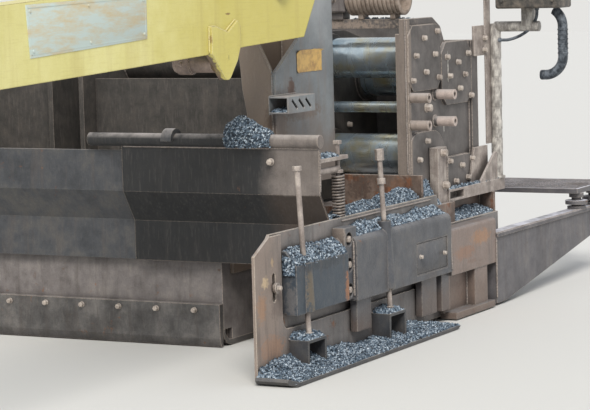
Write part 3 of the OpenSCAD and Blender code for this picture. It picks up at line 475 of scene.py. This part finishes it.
# A round cord along a smooth curve in a plane across the travel, through the (y, z) points
def addCord(bm, x, points, radius, parts=3, count=14):
    path = [Vector((x, *p)) for p in points]
    path = [2 * path[0] - path[1]] + path + [2 * path[-1] - path[-2]]
    line = []
    for before, start, end, after in zip(path, path[1:], path[2:], path[3:]):
        for t in (i / parts for i in range(parts)):
            line.append(0.5 * (2 * start + (end - before) * t + (2 * before - 5 * start + 4 * end - after) * t ** 2
                               + (3 * start - before - 3 * end + after) * t ** 3))
    line.append(path[-2])
    loops = []
    for i, spot in enumerate(line):
        along = (line[min(i + 1, len(line) - 1)] - line[max(i - 1, 0)]).normalized()
        across = Vector((1, 0, 0))
        turn = Matrix((across, along.cross(across), along)).transposed().to_4x4()
        loops.append(addRing(bm, radius, count, Matrix.Translation(spot) @ turn)[1])
    for one, two in zip(loops, loops[1:]):
        bmesh.ops.bridge_loops(bm, edges=one + two)
    for ends in (loops[0], loops[-1]):
        bmesh.ops.contextual_create(bm, geom=ends)


# Hex bolt on a washer: the shapes are made once and stamped wherever a bolt sits
boltSettings = {"across": 17.5, "head": 13, "washer": 23, "washerHigh": 3, "crown": 0.36}


def makeBolt(s):
    bm = bmesh.new()
    low, top = s["washerHigh"], s["washerHigh"] + s["head"]
    addRod(bm, (0, 0, -1), (0, 0, low), s["washer"] / 2, 20, 0.5)
    addRod(bm, (0, 0, low - 0.5), (0, 0, top), s["across"] / math.sqrt(3), 6, 1.6)
    addRod(bm, (0, 0, top - 1), (0, 0, top + 0.6), s["across"] * s["crown"], 14)
    return keepMesh(bm, "bolt")


boltMesh = makeBolt(boltSettings)
quarter = math.radians(90)
outward = {"x": Matrix.Rotation(quarter, 4, "Y"), "-x": Matrix.Rotation(-quarter, 4, "Y"),
           "y": Matrix.Rotation(-quarter, 4, "X"), "z": Matrix()}


def boltAt(bm, spot, facing="y", size=1.0, turn=0.0):
    stamp(bm, boltMesh, Matrix.Translation(spot) @ outward[facing] @ Matrix.Rotation(turn, 4, "Z")
          @ Matrix.Scale(size, 4))


# Every bolt group: body, side it faces, size, and places in X, Y, Z
boltGroups = {
    "carrierBolts": ("extension", "y", 1.0, [(x, 1348, z) for x, z in (
        (-484, 1033), (-599, 1054), (-412, 971), (-577, 970), (-495, 908), (-382, 882), (-608, 883), (-684, 954),
        (-877, 960), (-783, 930), (-707, 882), (-845, 881), (-796, 831), (-898, 798), (-691, 563), (-801, 539),
        (-895, 557), (-742, 483), (-854, 488))] + [(-427, 1346, 590), (-499, 1346, 654), (-622, 1346, 545)]),
    "carrierCentreBolt": ("extension", "y", 1.5, [(-527, 1334, 774)]),
    "postBolts": ("extension", "y", 1.35, [(-549, 1385, 607), (-561, 1385, 486)]),
    "flangeBolts": ("extension", "y", 1.2, [(358, 1435, z) for z in (393, 307, 221)]),
    "coverBolts": ("extension", "y", 0.75, [(-166, 1466, 269), (-367, 1466, 260)]),
    "standBolts": ("extension", "y", 1.0, [(-1015, 1358, 1011), (-1012, 1358, 965)]),
    "pinBolt": ("extension", "y", 0.85, [(846, 1439, 292)]),
    "shieldBolt": ("extension", "x", 1.1, [(465, 1219, 659)]),
    "bulkheadBolts": ("main", "y", 1.0, [(x, 945, z) for x, z in (
        (-180, 520), (-180, 700), (-180, 880), (-700, 1010), (-660, 700), (-380, 1020))]),
    "rearWallBolts": ("extension", "-x", 1.0, [(-972, 735 + 110 * i, 445) for i in range(6)]
                      + [(-972, 1288, 520 + 105 * i) for i in range(5)]),
    "tamperBolts": ("main", "x", 0.9, [(375, 75 + 155 * i, 128) for i in range(6)]),
    "lidBolts": ("main", "z", 1.0, [(x, y, 462) for y in (250, 480, 710) for x in (88, 252)]),
}


def makeBolts(groups):
    rng = random.Random(4)
    for name, (body, facing, size, spots) in groups.items():
        for side in sides:
            bm = bmesh.new()
            for spot in spots:
                boltAt(bm, spot, facing, size, rng.uniform(0, 1.05))
            finishPiece(name, bm, "boltZinc", body, side)


makeBolts(boltGroups)
print("bolts placed")


def newBall():
    bm = bmesh.new()
    bmesh.ops.create_icosphere(bm, subdivisions=1, radius=1.0)
    return bm


# Stone chips of the stuck mix: a few crushed shapes, stamped many times
def makeChips():
    rng = random.Random(11)
    chips = []
    for _ in range(8):
        bm = newBall()
        for v in bm.verts:
            v.co *= rng.uniform(0.72, 1.18)
        bmesh.ops.scale(bm, vec=(1.0, rng.uniform(0.65, 0.95), rng.uniform(0.5, 0.8)), verts=bm.verts)
        chips.append(keepMesh(bm, "chip"))
    return chips


chipMeshes = makeChips()


def stampChip(bm, rng, spot, size):
    turn = Matrix.Rotation(rng.uniform(0, 6.3), 4, Vector((rng.gauss(0, 1), rng.gauss(0, 1), rng.gauss(0, 1) + 0.01)))
    stamp(bm, rng.choice(chipMeshes), Matrix.Translation(spot) @ turn @ Matrix.Scale(size, 4))


# A heap lies on a four-cornered patch and swells to its ridge, or it clings round a bar.
# Its height fades at the rims, and caps keep it low where another body comes down.
heapLook = {"body": "extension", "fade": (0.06, 0.06, 0.15, 0.05), "fadePower": 0.6, "lump": 0.45, "lumpSize": 60,
            "power": 1.0, "caps": (), "stray": 0, "chip": 4.3, "chipSizes": (0.5, 0.65, 0.8, 1.0, 1.3),
            "underBar": 0.28, "barRise": 0.25, "skin": 1.5}


def cornersOf(patch):
    (start, end), near, far = patch
    return (start, *near), (end, *near), (end, *far), (start, *far)


def makeHeap(name, s, side):
    rng = random.Random(s["seed"])
    fade = s["fade"]
    seedShift = Vector((s["seed"], 0, 0))

    def ridge(u):
        return np.interp(u, *zip(*s["ridge"])) if "ridge" in s else s["high"]

    def rimOf(u, v):
        rim = min(1, u / fade[0], (1 - u) / fade[1]) if 0 < u < 1 else 0
        rim *= min(1, v / fade[2], (1 - v + 1e-6) / fade[3] if fade[3] else 1) if 0 <= v <= 1 else 0
        return max(rim, 0) ** s["fadePower"]

    def lump(flat):
        return 1 + s["lump"] * noise.noise(flat / s["lumpSize"] + seedShift)

    def aroundBar(u, v, lift=0.0):
        bar = s["bar"]
        y = bar["from"] + (bar["to"] - bar["from"]) * u
        turn = math.radians(bar["start"] + (bar["end"] - bar["start"]) * v)
        flat = Vector((bar["x"], y, bar["z"])) + Vector((math.cos(turn), 0, math.sin(turn))) * bar["radius"]
        grow = Vector((math.cos(turn), 0, math.sin(turn) + s["barRise"])).normalized()
        share = s["underBar"] + (1 - s["underBar"]) * max(0, math.sin(turn))
        return flat + grow * (ridge(u) * share * lump(flat) * rimOf(u, v) + lift)

    def onPatch(u, v, lift=0.0):
        a, b, c, d = (Vector(p) for p in (s["corners"] if "corners" in s else cornersOf(s["patch"])))
        up = (b - a).cross(d - a).normalized()
        up = -up if up.z < 0 else up
        flat = (a * (1 - u) + b * u) * (1 - v) + (d * (1 - u) + c * u) * v
        high = (s["low"] + (ridge(u) - s["low"]) * max(v, 0) ** s["power"]) * lump(flat) * rimOf(u, v)
        here = flat + up * (high + lift)
        for low, high, top in s["caps"]:
            if low[0] < here.x < high[0] and low[1] < here.y < high[1]:
                here.z = min(here.z, top)
        return here

    spot = aroundBar if "bar" in s else onPatch
    bm = bmesh.new()
    bmesh.ops.create_grid(bm, x_segments=s["cells"][0], y_segments=s["cells"][1], size=0.5)
    for vert in bm.verts:
        u, v = vert.co.x + 0.5, vert.co.y + 0.5
        vert.co = spot(u, v, s["skin"] * (noise.noise(Vector((u * 60, v * 20, s["seed"]))) - 1))
    bmesh.ops.recalc_face_normals(bm, faces=bm.faces)
    bmesh.ops.solidify(bm, geom=bm.faces[:], thickness=s["skin"])
    for _ in range(s["chips"]):
        u, v = rng.random(), rng.random()
        size = rng.choice(s["chipSizes"]) * s["chip"]
        stampChip(bm, rng, spot(u, v, size * rng.uniform(-0.2, 0.5)), size)
    for _ in range(s["stray"]):
        size = rng.uniform(0.4, 0.9) * s["chip"]
        stampChip(bm, rng, spot(rng.random(), rng.uniform(-s["reach"], 0.1), size * 0.4), size)
    finishPiece(name, bm, "asphaltCrumb", s["body"], side, 20)


# A patch is given by its ends along X and by Y and Z of its near and of its far edge, or by its corners
heaps = {
    "skiHeap": {"body": "end_gate", "corners": [(-283, 1563, 12), (968, 1563, 12), (978, 1426, 12), (-283, 1426, 12)],
        "low": 5, "ridge": [(0, 14), (0.12, 27), (0.3, 18), (0.46, 24), (0.7, 40), (0.86, 48), (0.93, 54), (1, 40)],
        "power": 1.2, "cells": (110, 16), "chips": 7200, "seed": 1, "fade": (0.03, 0.02, 0.06, 0), "lump": 0.35,
        "caps": [((-336, 1420), (-187, 1464), 5), ((199, 1420), (333, 1464), 28)]},
    "frontFootHeap": {"body": "end_gate", "patch": ((628, 752), (1492, 110), (1426, 110)), "low": 10, "high": 20,
        "cells": (16, 9), "chips": 380, "seed": 2, "fade": (0.15, 0.15, 0.15, 0)},
    "rearFootHeap": {"body": "end_gate", "patch": ((22, 146), (1492, 110), (1426, 110)), "low": 9, "high": 16,
        "cells": (16, 9), "chips": 380, "seed": 3, "fade": (0.15, 0.15, 0.15, 0)},
    "frontBoxHeap": {"patch": ((408, 768), (1467, 354), (1411, 394)), "low": 14, "high": 14, "cells": (46, 10),
        "chips": 1800, "seed": 4, "fade": (0.05, 0.04, 0.2, 0), "stray": 30, "reach": 0.15},
    "boxSideCrumbs": {"corners": [(781, 1466, 322), (781, 1466, 378), (781, 1422, 388), (781, 1422, 322)], "low": 0,
        "ridge": [(0, 0), (0.4, 1), (1, 8)], "cells": (12, 8), "chips": 56, "seed": 17, "fade": (0.3, 0.05, 0.2, 0.2),
        "lump": 1.2, "chip": 3.8},
    "middleBoxHeap": {"patch": ((-420, 305), (1452, 396), (1411, 400)), "low": 6, "high": 30, "cells": (80, 7),
        "chips": 2200, "seed": 5, "fade": (0.04, 0.04, 0.3, 0), "lumpSize": 90, "lump": 0.7},
    "ledgeHeap": {"patch": ((-350, 255), (1293, 446), (1399, 446)), "low": 26,
        "ridge": [(0, 58), (0.3, 52), (0.6, 40), (1, 28)], "power": 0.3, "cells": (70, 16), "chips": 3400, "seed": 6,
        "fade": (0.05, 0.06, 0.35, 0.5), "lumpSize": 110, "lump": 0.6},
    "frontLedgeHeap": {"patch": ((310, 378), (1300, 446), (1398, 446)), "low": 10, "high": 22, "cells": (10, 12),
        "chips": 260, "seed": 16, "fade": (0.2, 0.1, 0.2, 0)},
    "wallHeap": {"patch": ((-508, -376), (1398, 420), (1336, 420)), "low": 14, "high": 105, "power": 1.5,
        "cells": (18, 14), "chips": 840, "seed": 7, "fade": (0.1, 0.1, 0.1, 0)},
    "recessHeap": {"patch": ((-980, -628), (1398, 345), (1342, 345)), "low": 10, "high": 34, "cells": (44, 9),
        "chips": 1040, "seed": 8, "fade": (0.06, 0.04, 0.15, 0)},
    "bracketHeap": {"patch": ((300, 452), (1393, 668), (1347, 668)), "low": 6, "high": 12, "cells": (18, 7),
        "chips": 300, "seed": 9, "fade": (0.12, 0.08, 0.15, 0.1), "chip": 4.0},
    "barHeap": {"bar": {"x": 460.5, "z": 728, "radius": 21, "from": 1050, "to": 1224, "start": -50, "end": 215},
        "ridge": [(0, 46), (0.3, 52), (0.6, 44), (1, 14)], "cells": (34, 26), "chips": 1800, "seed": 10,
        "fade": (0.07, 0.1, 0.06, 0.1), "lump": 0.4, "lumpSize": 45},
    "railCrumbs": {"patch": ((-466, -434), (1080, 1106), (1310, 1106)), "low": 2, "high": 3, "cells": (5, 20),
        "chips": 120, "seed": 12, "chip": 3.5},
    "channelCrumbs": {"patch": ((-1075, -620), (1390, 464), (1362, 464)), "low": 1, "high": 4, "cells": (40, 4),
        "chips": 240, "seed": 13, "chip": 4.0, "lump": 0.9},
    "ventCrumbs": {"body": "main", "patch": ((165, 340), (1217, 816), (1153, 816)), "low": 3, "high": 9,
        "cells": (18, 7), "chips": 220, "seed": 14, "chip": 4.5},
    "coverCrumbs": {"body": "main", "patch": ((-340, 60), (640, 450), (925, 450)), "low": 2, "high": 10,
        "cells": (40, 26), "chips": 1400, "seed": 15, "chip": 4.0, "lump": 1.0, "lumpSize": 130},
}
for name, s in heaps.items():
    for side in sides:
        makeHeap(name, {**heapLook, **s}, side)
print("heaps made:", len(heaps))


# Weld beads: overlapping low drops along each seam
weldSettings = {"step": 5.5, "radius": 4.2}
dropMesh = keepMesh(newBall(), "drop")


def weldLine(bm, rng, points, s):
    for start, end in zip(points, points[1:]):
        start, end = Vector(start), Vector(end)
        along = end - start
        turn = along.to_track_quat("Z", "Y").to_matrix().to_4x4()
        for i in range(max(2, round(along.length / s["step"]))):
            spot = start + along * (i + rng.uniform(0.3, 0.7)) * s["step"] / along.length
            grow = Matrix.Diagonal((s["radius"] * rng.uniform(0.85, 1.15), s["radius"] * rng.uniform(0.85, 1.15),
                                    s["step"] * 1.1, 1))
            stamp(bm, dropMesh, Matrix.Translation(spot) @ turn @ grow)


def ringPoints(x, y, z, radius, count=28):
    turns = (math.tau * i / count for i in range(count + 1))
    return [(x + radius * math.cos(turn), y, z + radius * math.sin(turn)) for turn in turns]


# Start and end of a straight seam given as X, Y and Z, where what changes is a pair
def endsOf(place):
    return [tuple(v[end] if isinstance(v, tuple) else v for v in place) for end in (0, 1)]


# Each group's body, material and seams: a tuple is a straight seam, a list runs through its points
welds = {
    "shieldWelds": ("extension", "screedSteel", [
        (466, (640, 1398), 705), (455, (640, 1398), 705), (458, 1399, (560, 700)), (388, 1399, (310, 440))]),
    "carrierWelds": ("extension", "screedSteel", [
        (-358, 1335, (545, 1100)), (-914, 1335, (500, 1000)), (-370, 1335, (424, 540)), (-512, (1385, 1352), 421),
        (-592, 1386, (464, 600)), ((-1030, -862), 1361, 465), (-478, 1313, (1072, 1104)),
        *(ringPoints(x, 1335, z, 20) for z in (720, 820) for x in (-378, -603))]),
    "sideWelds": ("extension", "screedSteel", [
        (341, 1458, (200, 384)), (402, (1456, 1440), (200, 376)), (-432, (1470, 1465), (190, 340)),
        (-841, 1470, (30, 255)), ((-380, 330), 1411, 450), (-646, 1431, (30, 165)), (-762, 1431, (30, 165)),
        ((-841, -1960), 1471, 276), ((-841, -440), 1431, 168)]),
    "gateWelds": ("end_gate", "screedSteel", [
        ((690, 980), 1426, 13), *((x, (1492, 1430), 14) for x in (625, 755, 19, 149)),
        ((625, 755), 1426, 112), ((19, 149), 1426, 112)]),
    "armWelds": ("tow_arm", "armPaint", [
        [(911, 1251, 1046), (909, 1251, 1127), (880, 1251, 1129), (806, 1251, 1109), (742, 1251, 1145),
         (719, 1251, 1123), (722, 1251, 1064)],
        *(ringPoints(2850, y, 1060, 77, 40) for y in (1251, 1155))]),
    "earWelds": ("main", "earPaint", [
        (294, 1137, (560, 940)), ((294, 120), 1150, (948, 1056)), (294, (1138, 1092), (948, 1044)),
        ((148, 340), 1151, 810), ((148, 340), 1151, 870), ((-108, 130), 963, 560), (-108, 963, (470, 1235))]),
    "housingWelds": ("main", "screedSteel", [
        *(ringPoints(x, y, z, 91, 44) for x, y, z in (
            (-530, 946, 960), (-530, 946, 602), (-815, 946, 875), (-815, 946, 517), (-530, 81, 960), (-815, 81, 875))),
        ((-345, -150), 945, 451), (-250, (82, 924), 451)]),
    "mainShieldWelds": ("main", "screedSteel", [
        (442, 844, (560, 680)), (442, 194, (560, 680)), ((280, 349), 844, 451), ((280, 349), 194, 451)]),
    "rearWelds": ("extension", "screedSteel", [
        (-1000, 819, (200, 300)), (-1000, 861, (200, 300)), (-1001, (470, 1390), 30)]),
}


def makeWelds():
    rng = random.Random(21)
    for name, (body, finish, lines) in welds.items():
        for side in sides:
            bm = bmesh.new()
            for line in lines:
                weldLine(bm, rng, line if isinstance(line, list) else endsOf(line), weldSettings)
            finishPiece(name, bm, finish, body, side, 60)


makeWelds()
print("weld beads laid")


# A piece joined from boxes (low, high, bevel, segments), rods (start, end, radius, sides, bevel) and bolts
# (place, side it faces, size), on the extension unless it names another body
def makeJoined(name, s, side):
    bm = bmesh.new()
    for box in s.get("boxes", ()):
        addBox(bm, *box)
    for rod in s.get("rods", ()):
        addRod(bm, *rod)
    for bolt in s.get("bolts", ()):
        boltAt(bm, *bolt)
    return finishPiece(name, bm, s["finish"], s.get("body", "extension"), side)


# Coil spring: a wire's round section spun up a helix, with closed ends
springSettings = {"x": 280, "y": 1375, "outer": 23, "wire": 3.6, "low": 458.5, "high": 608.7, "turns": 14, "steps": 28}


def makeSpring(s, side):
    bm = bmesh.new()
    reach = s["outer"] - s["wire"]
    lift = s["high"] - s["low"] - 2 * s["wire"]
    steps = s["turns"] * s["steps"]
    start = Matrix.Translation((s["x"] + reach, s["y"], s["low"] + s["wire"]))
    made, rims = addRing(bm, s["wire"], 12, start @ Matrix.Rotation(quarter, 4, "X"))
    last = bmesh.ops.spin(bm, geom=made + rims, cent=(s["x"], s["y"], 0), axis=(0, 0, 1), dvec=(0, 0, lift / steps),
                          angle=math.tau * s["turns"], steps=steps, use_merge=False)["geom_last"]
    for ends in (rims, [g for g in last if isinstance(g, bmesh.types.BMEdge)]):
        bmesh.ops.contextual_create(bm, geom=ends)
    obj = finishPiece("coilSpring", bm, "springSteel", "extension", side, 50)
    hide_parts("spring_" + side)


# Corrugated conduit: a wall spun round its axis, with two straps. A rib gives shares of the pitch and how far the
# wall stands out there, the mouth its steps inward and back.
conduitSettings = {"x": -450, "z": 1185, "low": 1075, "high": 1294, "pitch": 17.0, "root": 58,
                   "rib": ((0.0, 0), (0.16, 0), (0.24, 6), (0.34, 8), (0.82, 8), (0.92, 6), (1.0, 0)),
                   "mouth": ((7, 0), (9, 40)), "steps": 48,
                   "straps": [((-475, y, 1106), (-425, y + 20, 1131), 2) for y in (1114, 1244)]}
clampSettings = {"finish": "screedSteel",
                 "boxes": [((-501, 979, 1134), (-399, 1074, 1241), 6, 3), ((-480, 1004, 1106), (-420, 1054, 1136), 2)],
                 "bolts": [((-486, 1026, 1240), "z", 1.0), ((-501, 1026, 1180), "-x", 0.9),
                           ((-414, 1026, 1240), "z", 1.0), ((-399, 1026, 1180), "x", 0.9)]}


def makeConduit(s, side):
    bm = bmesh.new()
    count = round((s["high"] - s["low"]) / s["pitch"])
    end = s["low"] + count * s["pitch"]
    profile = [(0, s["low"])]
    profile += [(s["root"] + out, s["low"] + (i + share) * s["pitch"])
                for i in range(count) for share, out in s["rib"]]
    profile += [(s["root"] - inward, end - back) for inward, back in s["mouth"]]
    profile.append((0, profile[-1][1]))
    verts = [bm.verts.new((s["x"] + r, y, s["z"])) for r, y in profile]
    edges = [bm.edges.new(pair) for pair in zip(verts, verts[1:])]
    bmesh.ops.spin(bm, geom=verts + edges, cent=(s["x"], 0, s["z"]), axis=(0, 1, 0), angle=math.tau,
                   steps=s["steps"], use_merge=True)
    bmesh.ops.remove_doubles(bm, verts=bm.verts, dist=0.01)
    for strap in s["straps"]:
        addBox(bm, *strap)
    obj = finishPiece("corrugatedConduit", bm, "ribbedPlastic", "extension", side, 40)
    clamp = makeJoined("conduitClamp", clampSettings, side)
    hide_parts("conduit_" + side)
    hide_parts("conduit_" + side)


# Operator's stand: taped pole, bracket, control box and rubber grip with its cable
pole = poleX, poleY = -1088, 1375
poleRadius, armHigh, boxTop = 21, 1052, 1272
standPieces = {
    "standPole": {
        "finish": "tapedPole",
        "rods": [((*pole, 464), (*pole, 1064), poleRadius, 28, 2),
                 *(((*pole, z), (*pole, z + tall), poleRadius + 1.4, 28, 0.8)
                   for z, tall in ((560, 60), (655, 34), (742, 90), (858, 46), (930, 105))),
                 ((*pole, 464), (*pole, 474), poleRadius + 9, 28, 1.5),
                 ((*pole, armHigh), (poleX, poleY + 185, armHigh), 20, 24, 2)],
        "boxes": [((poleX - 22, 1493, armHigh), (poleX + 22, 1537, 1123), 3)]},
    "standBracket": {
        "finish": "paleSteel",
        "boxes": [((poleX, 1348.3, 945), (-925, 1358, 1060), 1), ((-1070, 1356.5, 602), (-1020, 1363, 1230), 1)]},
    "controlBox": {
        "finish": "boxPlastic",
        "boxes": [((-1120, 1413, 1122), (-1000, 1681, boxTop - 22), 9, 3),
                  ((-1123, 1410, boxTop - 24), (-997, 1684, boxTop - 4), 6, 3)],
        "rods": [((-1054, y, boxTop - 6), (-1054, y, boxTop), radius, 20, 1.5)
                 for y, radius in ((1470, 13), (1525, 11), (1580, 9))],
        "bolts": [((-1000, y, 1152), "x", 0.6) for y in (1443, 1651)]},
}
gripSettings = {"y": 1655, "radius": 19, "low": 937, "high": 1052, "bend": 72, "count": 24, "steps": 12,
                "bends": ((-1, 90), (1, 58)), "bands": 6, "bandFrom": 8, "bandPitch": 18, "bandHigh": 6,
                "bandOut": 1.6, "tip": 20}
cableSettings = {"x": -1082, "radius": 6, "points": [
    (1390, 1000), (1412, 1000), (1434, 1001), (1470, 1011), (1505, 1029), (1533, 1053), (1549, 1082), (1553, 1104),
    (1553, 1126)], "glands": (((1388, 1000), (1402, 1000)), ((1553, 1114), (1553, 1124))), "glandRadius": 9}


def makeStand(side):
    made = [makeJoined(name, s, side) for name, s in standPieces.items()]
    s, bm = gripSettings, bmesh.new()
    low, high, inner = s["low"], s["high"], s["y"] - s["bend"]
    addRod(bm, (poleX, s["y"], low), (poleX, s["y"], high), s["radius"], s["count"])
    for z, (turn, angle) in zip((low, high), s["bends"]):
        ring, rim = addRing(bm, s["radius"], s["count"], Matrix.Translation((poleX, s["y"], z)))
        bmesh.ops.spin(bm, geom=ring + rim, cent=(poleX, inner, z), axis=(turn, 0, 0), angle=math.radians(angle),
                       steps=s["steps"])
    foot = low - s["bend"]
    addRod(bm, (poleX, inner, foot), (poleX, inner - s["tip"], foot), s["radius"], s["count"], 4)
    for i in range(s["bands"]):
        z = low + s["bandFrom"] + s["bandPitch"] * i
        addRod(bm, (poleX, s["y"], z), (poleX, s["y"], z + s["bandHigh"]), s["radius"] + s["bandOut"], s["count"], 1)
    c = cableSettings
    addCord(bm, c["x"], c["points"], c["radius"])
    for start, end in c["glands"]:
        addRod(bm, (c["x"], *start), (c["x"], *end), c["glandRadius"], 20, 1.5)
    made.append(finishPiece("rubberGrip", bm, "gripRubber", "extension", side))
    for piece in made:
        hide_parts("control_stand_" + side)


for side in sides:
    makeSpring(springSettings, side)
    makeConduit(conduitSettings, side)
    makeStand(side)
print("spring, conduit and stand made")


# Blank info plate on the arm, with rim and rivets, stretched to its four corners
plateSettings = {"corners": ((1283, 1105), (1911, 1076), (1926, 1227), (1281, 1240)), "size": (640, 145), "y": 1250,
                 "inset": 8, "rim": 2, "rivetInset": 18, "rivetRadius": 5}


def makePlate(s, side):
    bm = bmesh.new()
    (wide, tall), y, near = s["size"], s["y"], s["inset"]
    right, top, rim = wide - near, tall - near, s["rim"]
    addBox(bm, (0, y - 1, 0), (wide, y + 2, tall), 0.8)
    for a, b in (((near, near), (right, near + rim)), ((near, top - rim), (right, top)),
                 ((near, near), (near + rim, top)), ((right - rim, near), (right, top))):
        addBox(bm, (a[0], y + 1, a[1]), (b[0], y + 2.8, b[1]))
    for x in (s["rivetInset"], wide / 2, wide - s["rivetInset"]):
        for z in (s["rivetInset"], tall - s["rivetInset"]):
            addRod(bm, (x, y + 1, z), (x, y + 4.5, z), s["rivetRadius"], 16, 1.4)
    (ax, az), (bx, bz), (cx, cz), (dx, dz) = s["corners"]
    for v in bm.verts:
        u, w = v.co.x / wide, v.co.z / tall
        v.co.x = (ax * (1 - u) + bx * u) * (1 - w) + (dx * (1 - u) + cx * u) * w
        v.co.z = (az * (1 - u) + bz * u) * (1 - w) + (dz * (1 - u) + cz * u) * w
    finishPiece("infoPlate", bm, "plateFilm", "tow_arm", side)


# Blank vinyl square on the ear, with a torn rim and three curled corners
vinylSettings = {"x": (-52, 134), "z": (940, 1017), "y": 1151.2, "curl": 9, "drop": 3, "torn": 0.012,
                 "cells": (40, 18), "thick": 0.8}


def makeVinyl(s, side):
    bm = bmesh.new()
    (x0, x1), (z0, z1) = s["x"], s["z"]
    bmesh.ops.create_grid(bm, x_segments=s["cells"][0], y_segments=s["cells"][1], size=0.5)
    for v in bm.verts:
        u, w = v.co.x + 0.5, v.co.y + 0.5
        corner = max(0, 1 - (u + (1 - w)) * 7) + max(0, 1 - ((1 - u) + w) * 8) + max(0, 1 - ((1 - u) + (1 - w)) * 6)
        ragged = s["torn"] * noise.noise(Vector((u * 9, w * 7, 2.0)))
        v.co = Vector((x0 + (x1 - x0) * (u + ragged), s["y"] + s["curl"] * corner ** 2,
                       z0 + (z1 - z0) * (w + 2 * ragged) - s["drop"] * corner))
    bmesh.ops.recalc_face_normals(bm, faces=bm.faces)
    bmesh.ops.solidify(bm, geom=bm.faces[:], thickness=s["thick"])
    finishPiece("vinylSquare", bm, "orangeVinyl", "main", side, 60)


# Small hardware that gives scale
hardware = {
    # Lock plate that keeps the arm's pin from turning, above its head
    "pinKeeper": {"finish": "screedSteel", "body": "tow_arm", "boxes": [((376, 1250, 1289), (484, 1258, 1306), 1.5)],
                  "bolts": [((x, 1258, 1297), "y", 0.55) for x in (392, 468)]},
    # Brown pipe pushed over the stub behind the lobe, with its collar and clamp bolt
    "pipeStub": {"finish": "pipeSteel", "body": "tow_arm", "bolts": [((886, 1131, 1010), "x", 0.7)],
                 "rods": [((850, 1094, 1010), (850, 1234.5, 1010), 31, 40, 2),
                          ((850, 1106, 1010), (850, 1156, 1010), 38, 40, 3)]},
    "greaseNipples": {"finish": "boltZinc", "body": "tow_arm", "rods": [
        rod for x, z in ((2850, 1148), (560, 1270))
        for rod in (((x, 1250, z), (x, 1256, z), 7, 6), ((x, 1255, z), (x, 1266, z), 3.5, 12, 1))]},
    # Washer seat round the gate's shoulder pin
    "washerSeats": {"finish": "paleSteel",
                    "rods": [((846, 1430, 292), (846, 1439.5, 292), 17, 24, 1.2)]},
    # Lid with a raised rim on the cover of the side housing
    "coverLid": {"finish": "boxSteel", "boxes": [((-391, 1465.5, 210), (-138, 1467.6, 316), 1.0), *(
        ((x0, 1465.5, z0), (x1, 1469.2, z1), 0.8) for x0, x1, z0, z1 in (
            (-397, -132, 204, 207), (-397, -132, 319, 322), (-397, -394, 204, 322), (-135, -132, 204, 322)))]},
}
for side in sides:
    makePlate(plateSettings, side)
    makeVinyl(vinylSettings, side)
    for name, s in hardware.items():
        makeJoined(name, s, side)
print("plates and hardware made")


# A pale floor, a soft sky and a low warm sun, with sizes in metres
stageSettings = {"floorSize": 60, "floorDrop": 0.002, "floorColour": "#D9D8D4", "floorRoughness": 0.8,
                 "skyLight": "#F1F6FF", "skySeen": "#E6E5E2", "skyStrength": 0.6, "sunStrength": 2.7,
                 "sunWidth": 25, "sunColour": (1.0, 0.97, 0.92), "sunAlong": (-0.62, -0.35, -0.70)}


def makeStage(s):
    bm = bmesh.new()
    bmesh.ops.create_grid(bm, x_segments=1, y_segments=1, size=s["floorSize"] / 2)
    bmesh.ops.translate(bm, vec=(0, 0, -s["floorDrop"]), verts=bm.verts)
    mesh = keepMesh(bm, "floor")
    mesh.materials.append(surface(newMaterial("paleFloor"), linear(s["floorColour"]), s["floorRoughness"]))
    floor = newObject("floor", mesh)
    world = bpy.data.worlds.new("studio")
    world.use_nodes = True
    world.node_tree.nodes.clear()
    rays = addNode(world, "LightPath")
    seen = rays.outputs["Is Camera Ray"]
    for kind in ("Is Glossy Ray", "Is Transmission Ray"):
        seen = maths(world, "MAXIMUM", seen, rays.outputs[kind])
    light = addNode(world, "Background", {"Color": linear(s["skyLight"]), "Strength": s["skyStrength"]})
    shown = addNode(world, "Background", {"Color": linear(s["skySeen"]), "Strength": 1.0})
    sky = addNode(world, "MixShader", {0: seen, 1: light.outputs["Background"], 2: shown.outputs["Background"]})
    addNode(world, "OutputWorld", {"Surface": sky.outputs["Shader"]})
    bpy.context.scene.world = world
    lamp = bpy.data.lights.new("key", "SUN")
    lamp.energy = s["sunStrength"]
    lamp.angle = math.radians(s["sunWidth"])
    lamp.color = s["sunColour"]
    key = newObject("key", lamp)
    key.rotation_euler = Vector(s["sunAlong"]).to_track_quat("-Z", "Y").to_euler()


makeStage(stageSettings)
bpy.context.scene.view_settings.view_transform = "Standard"
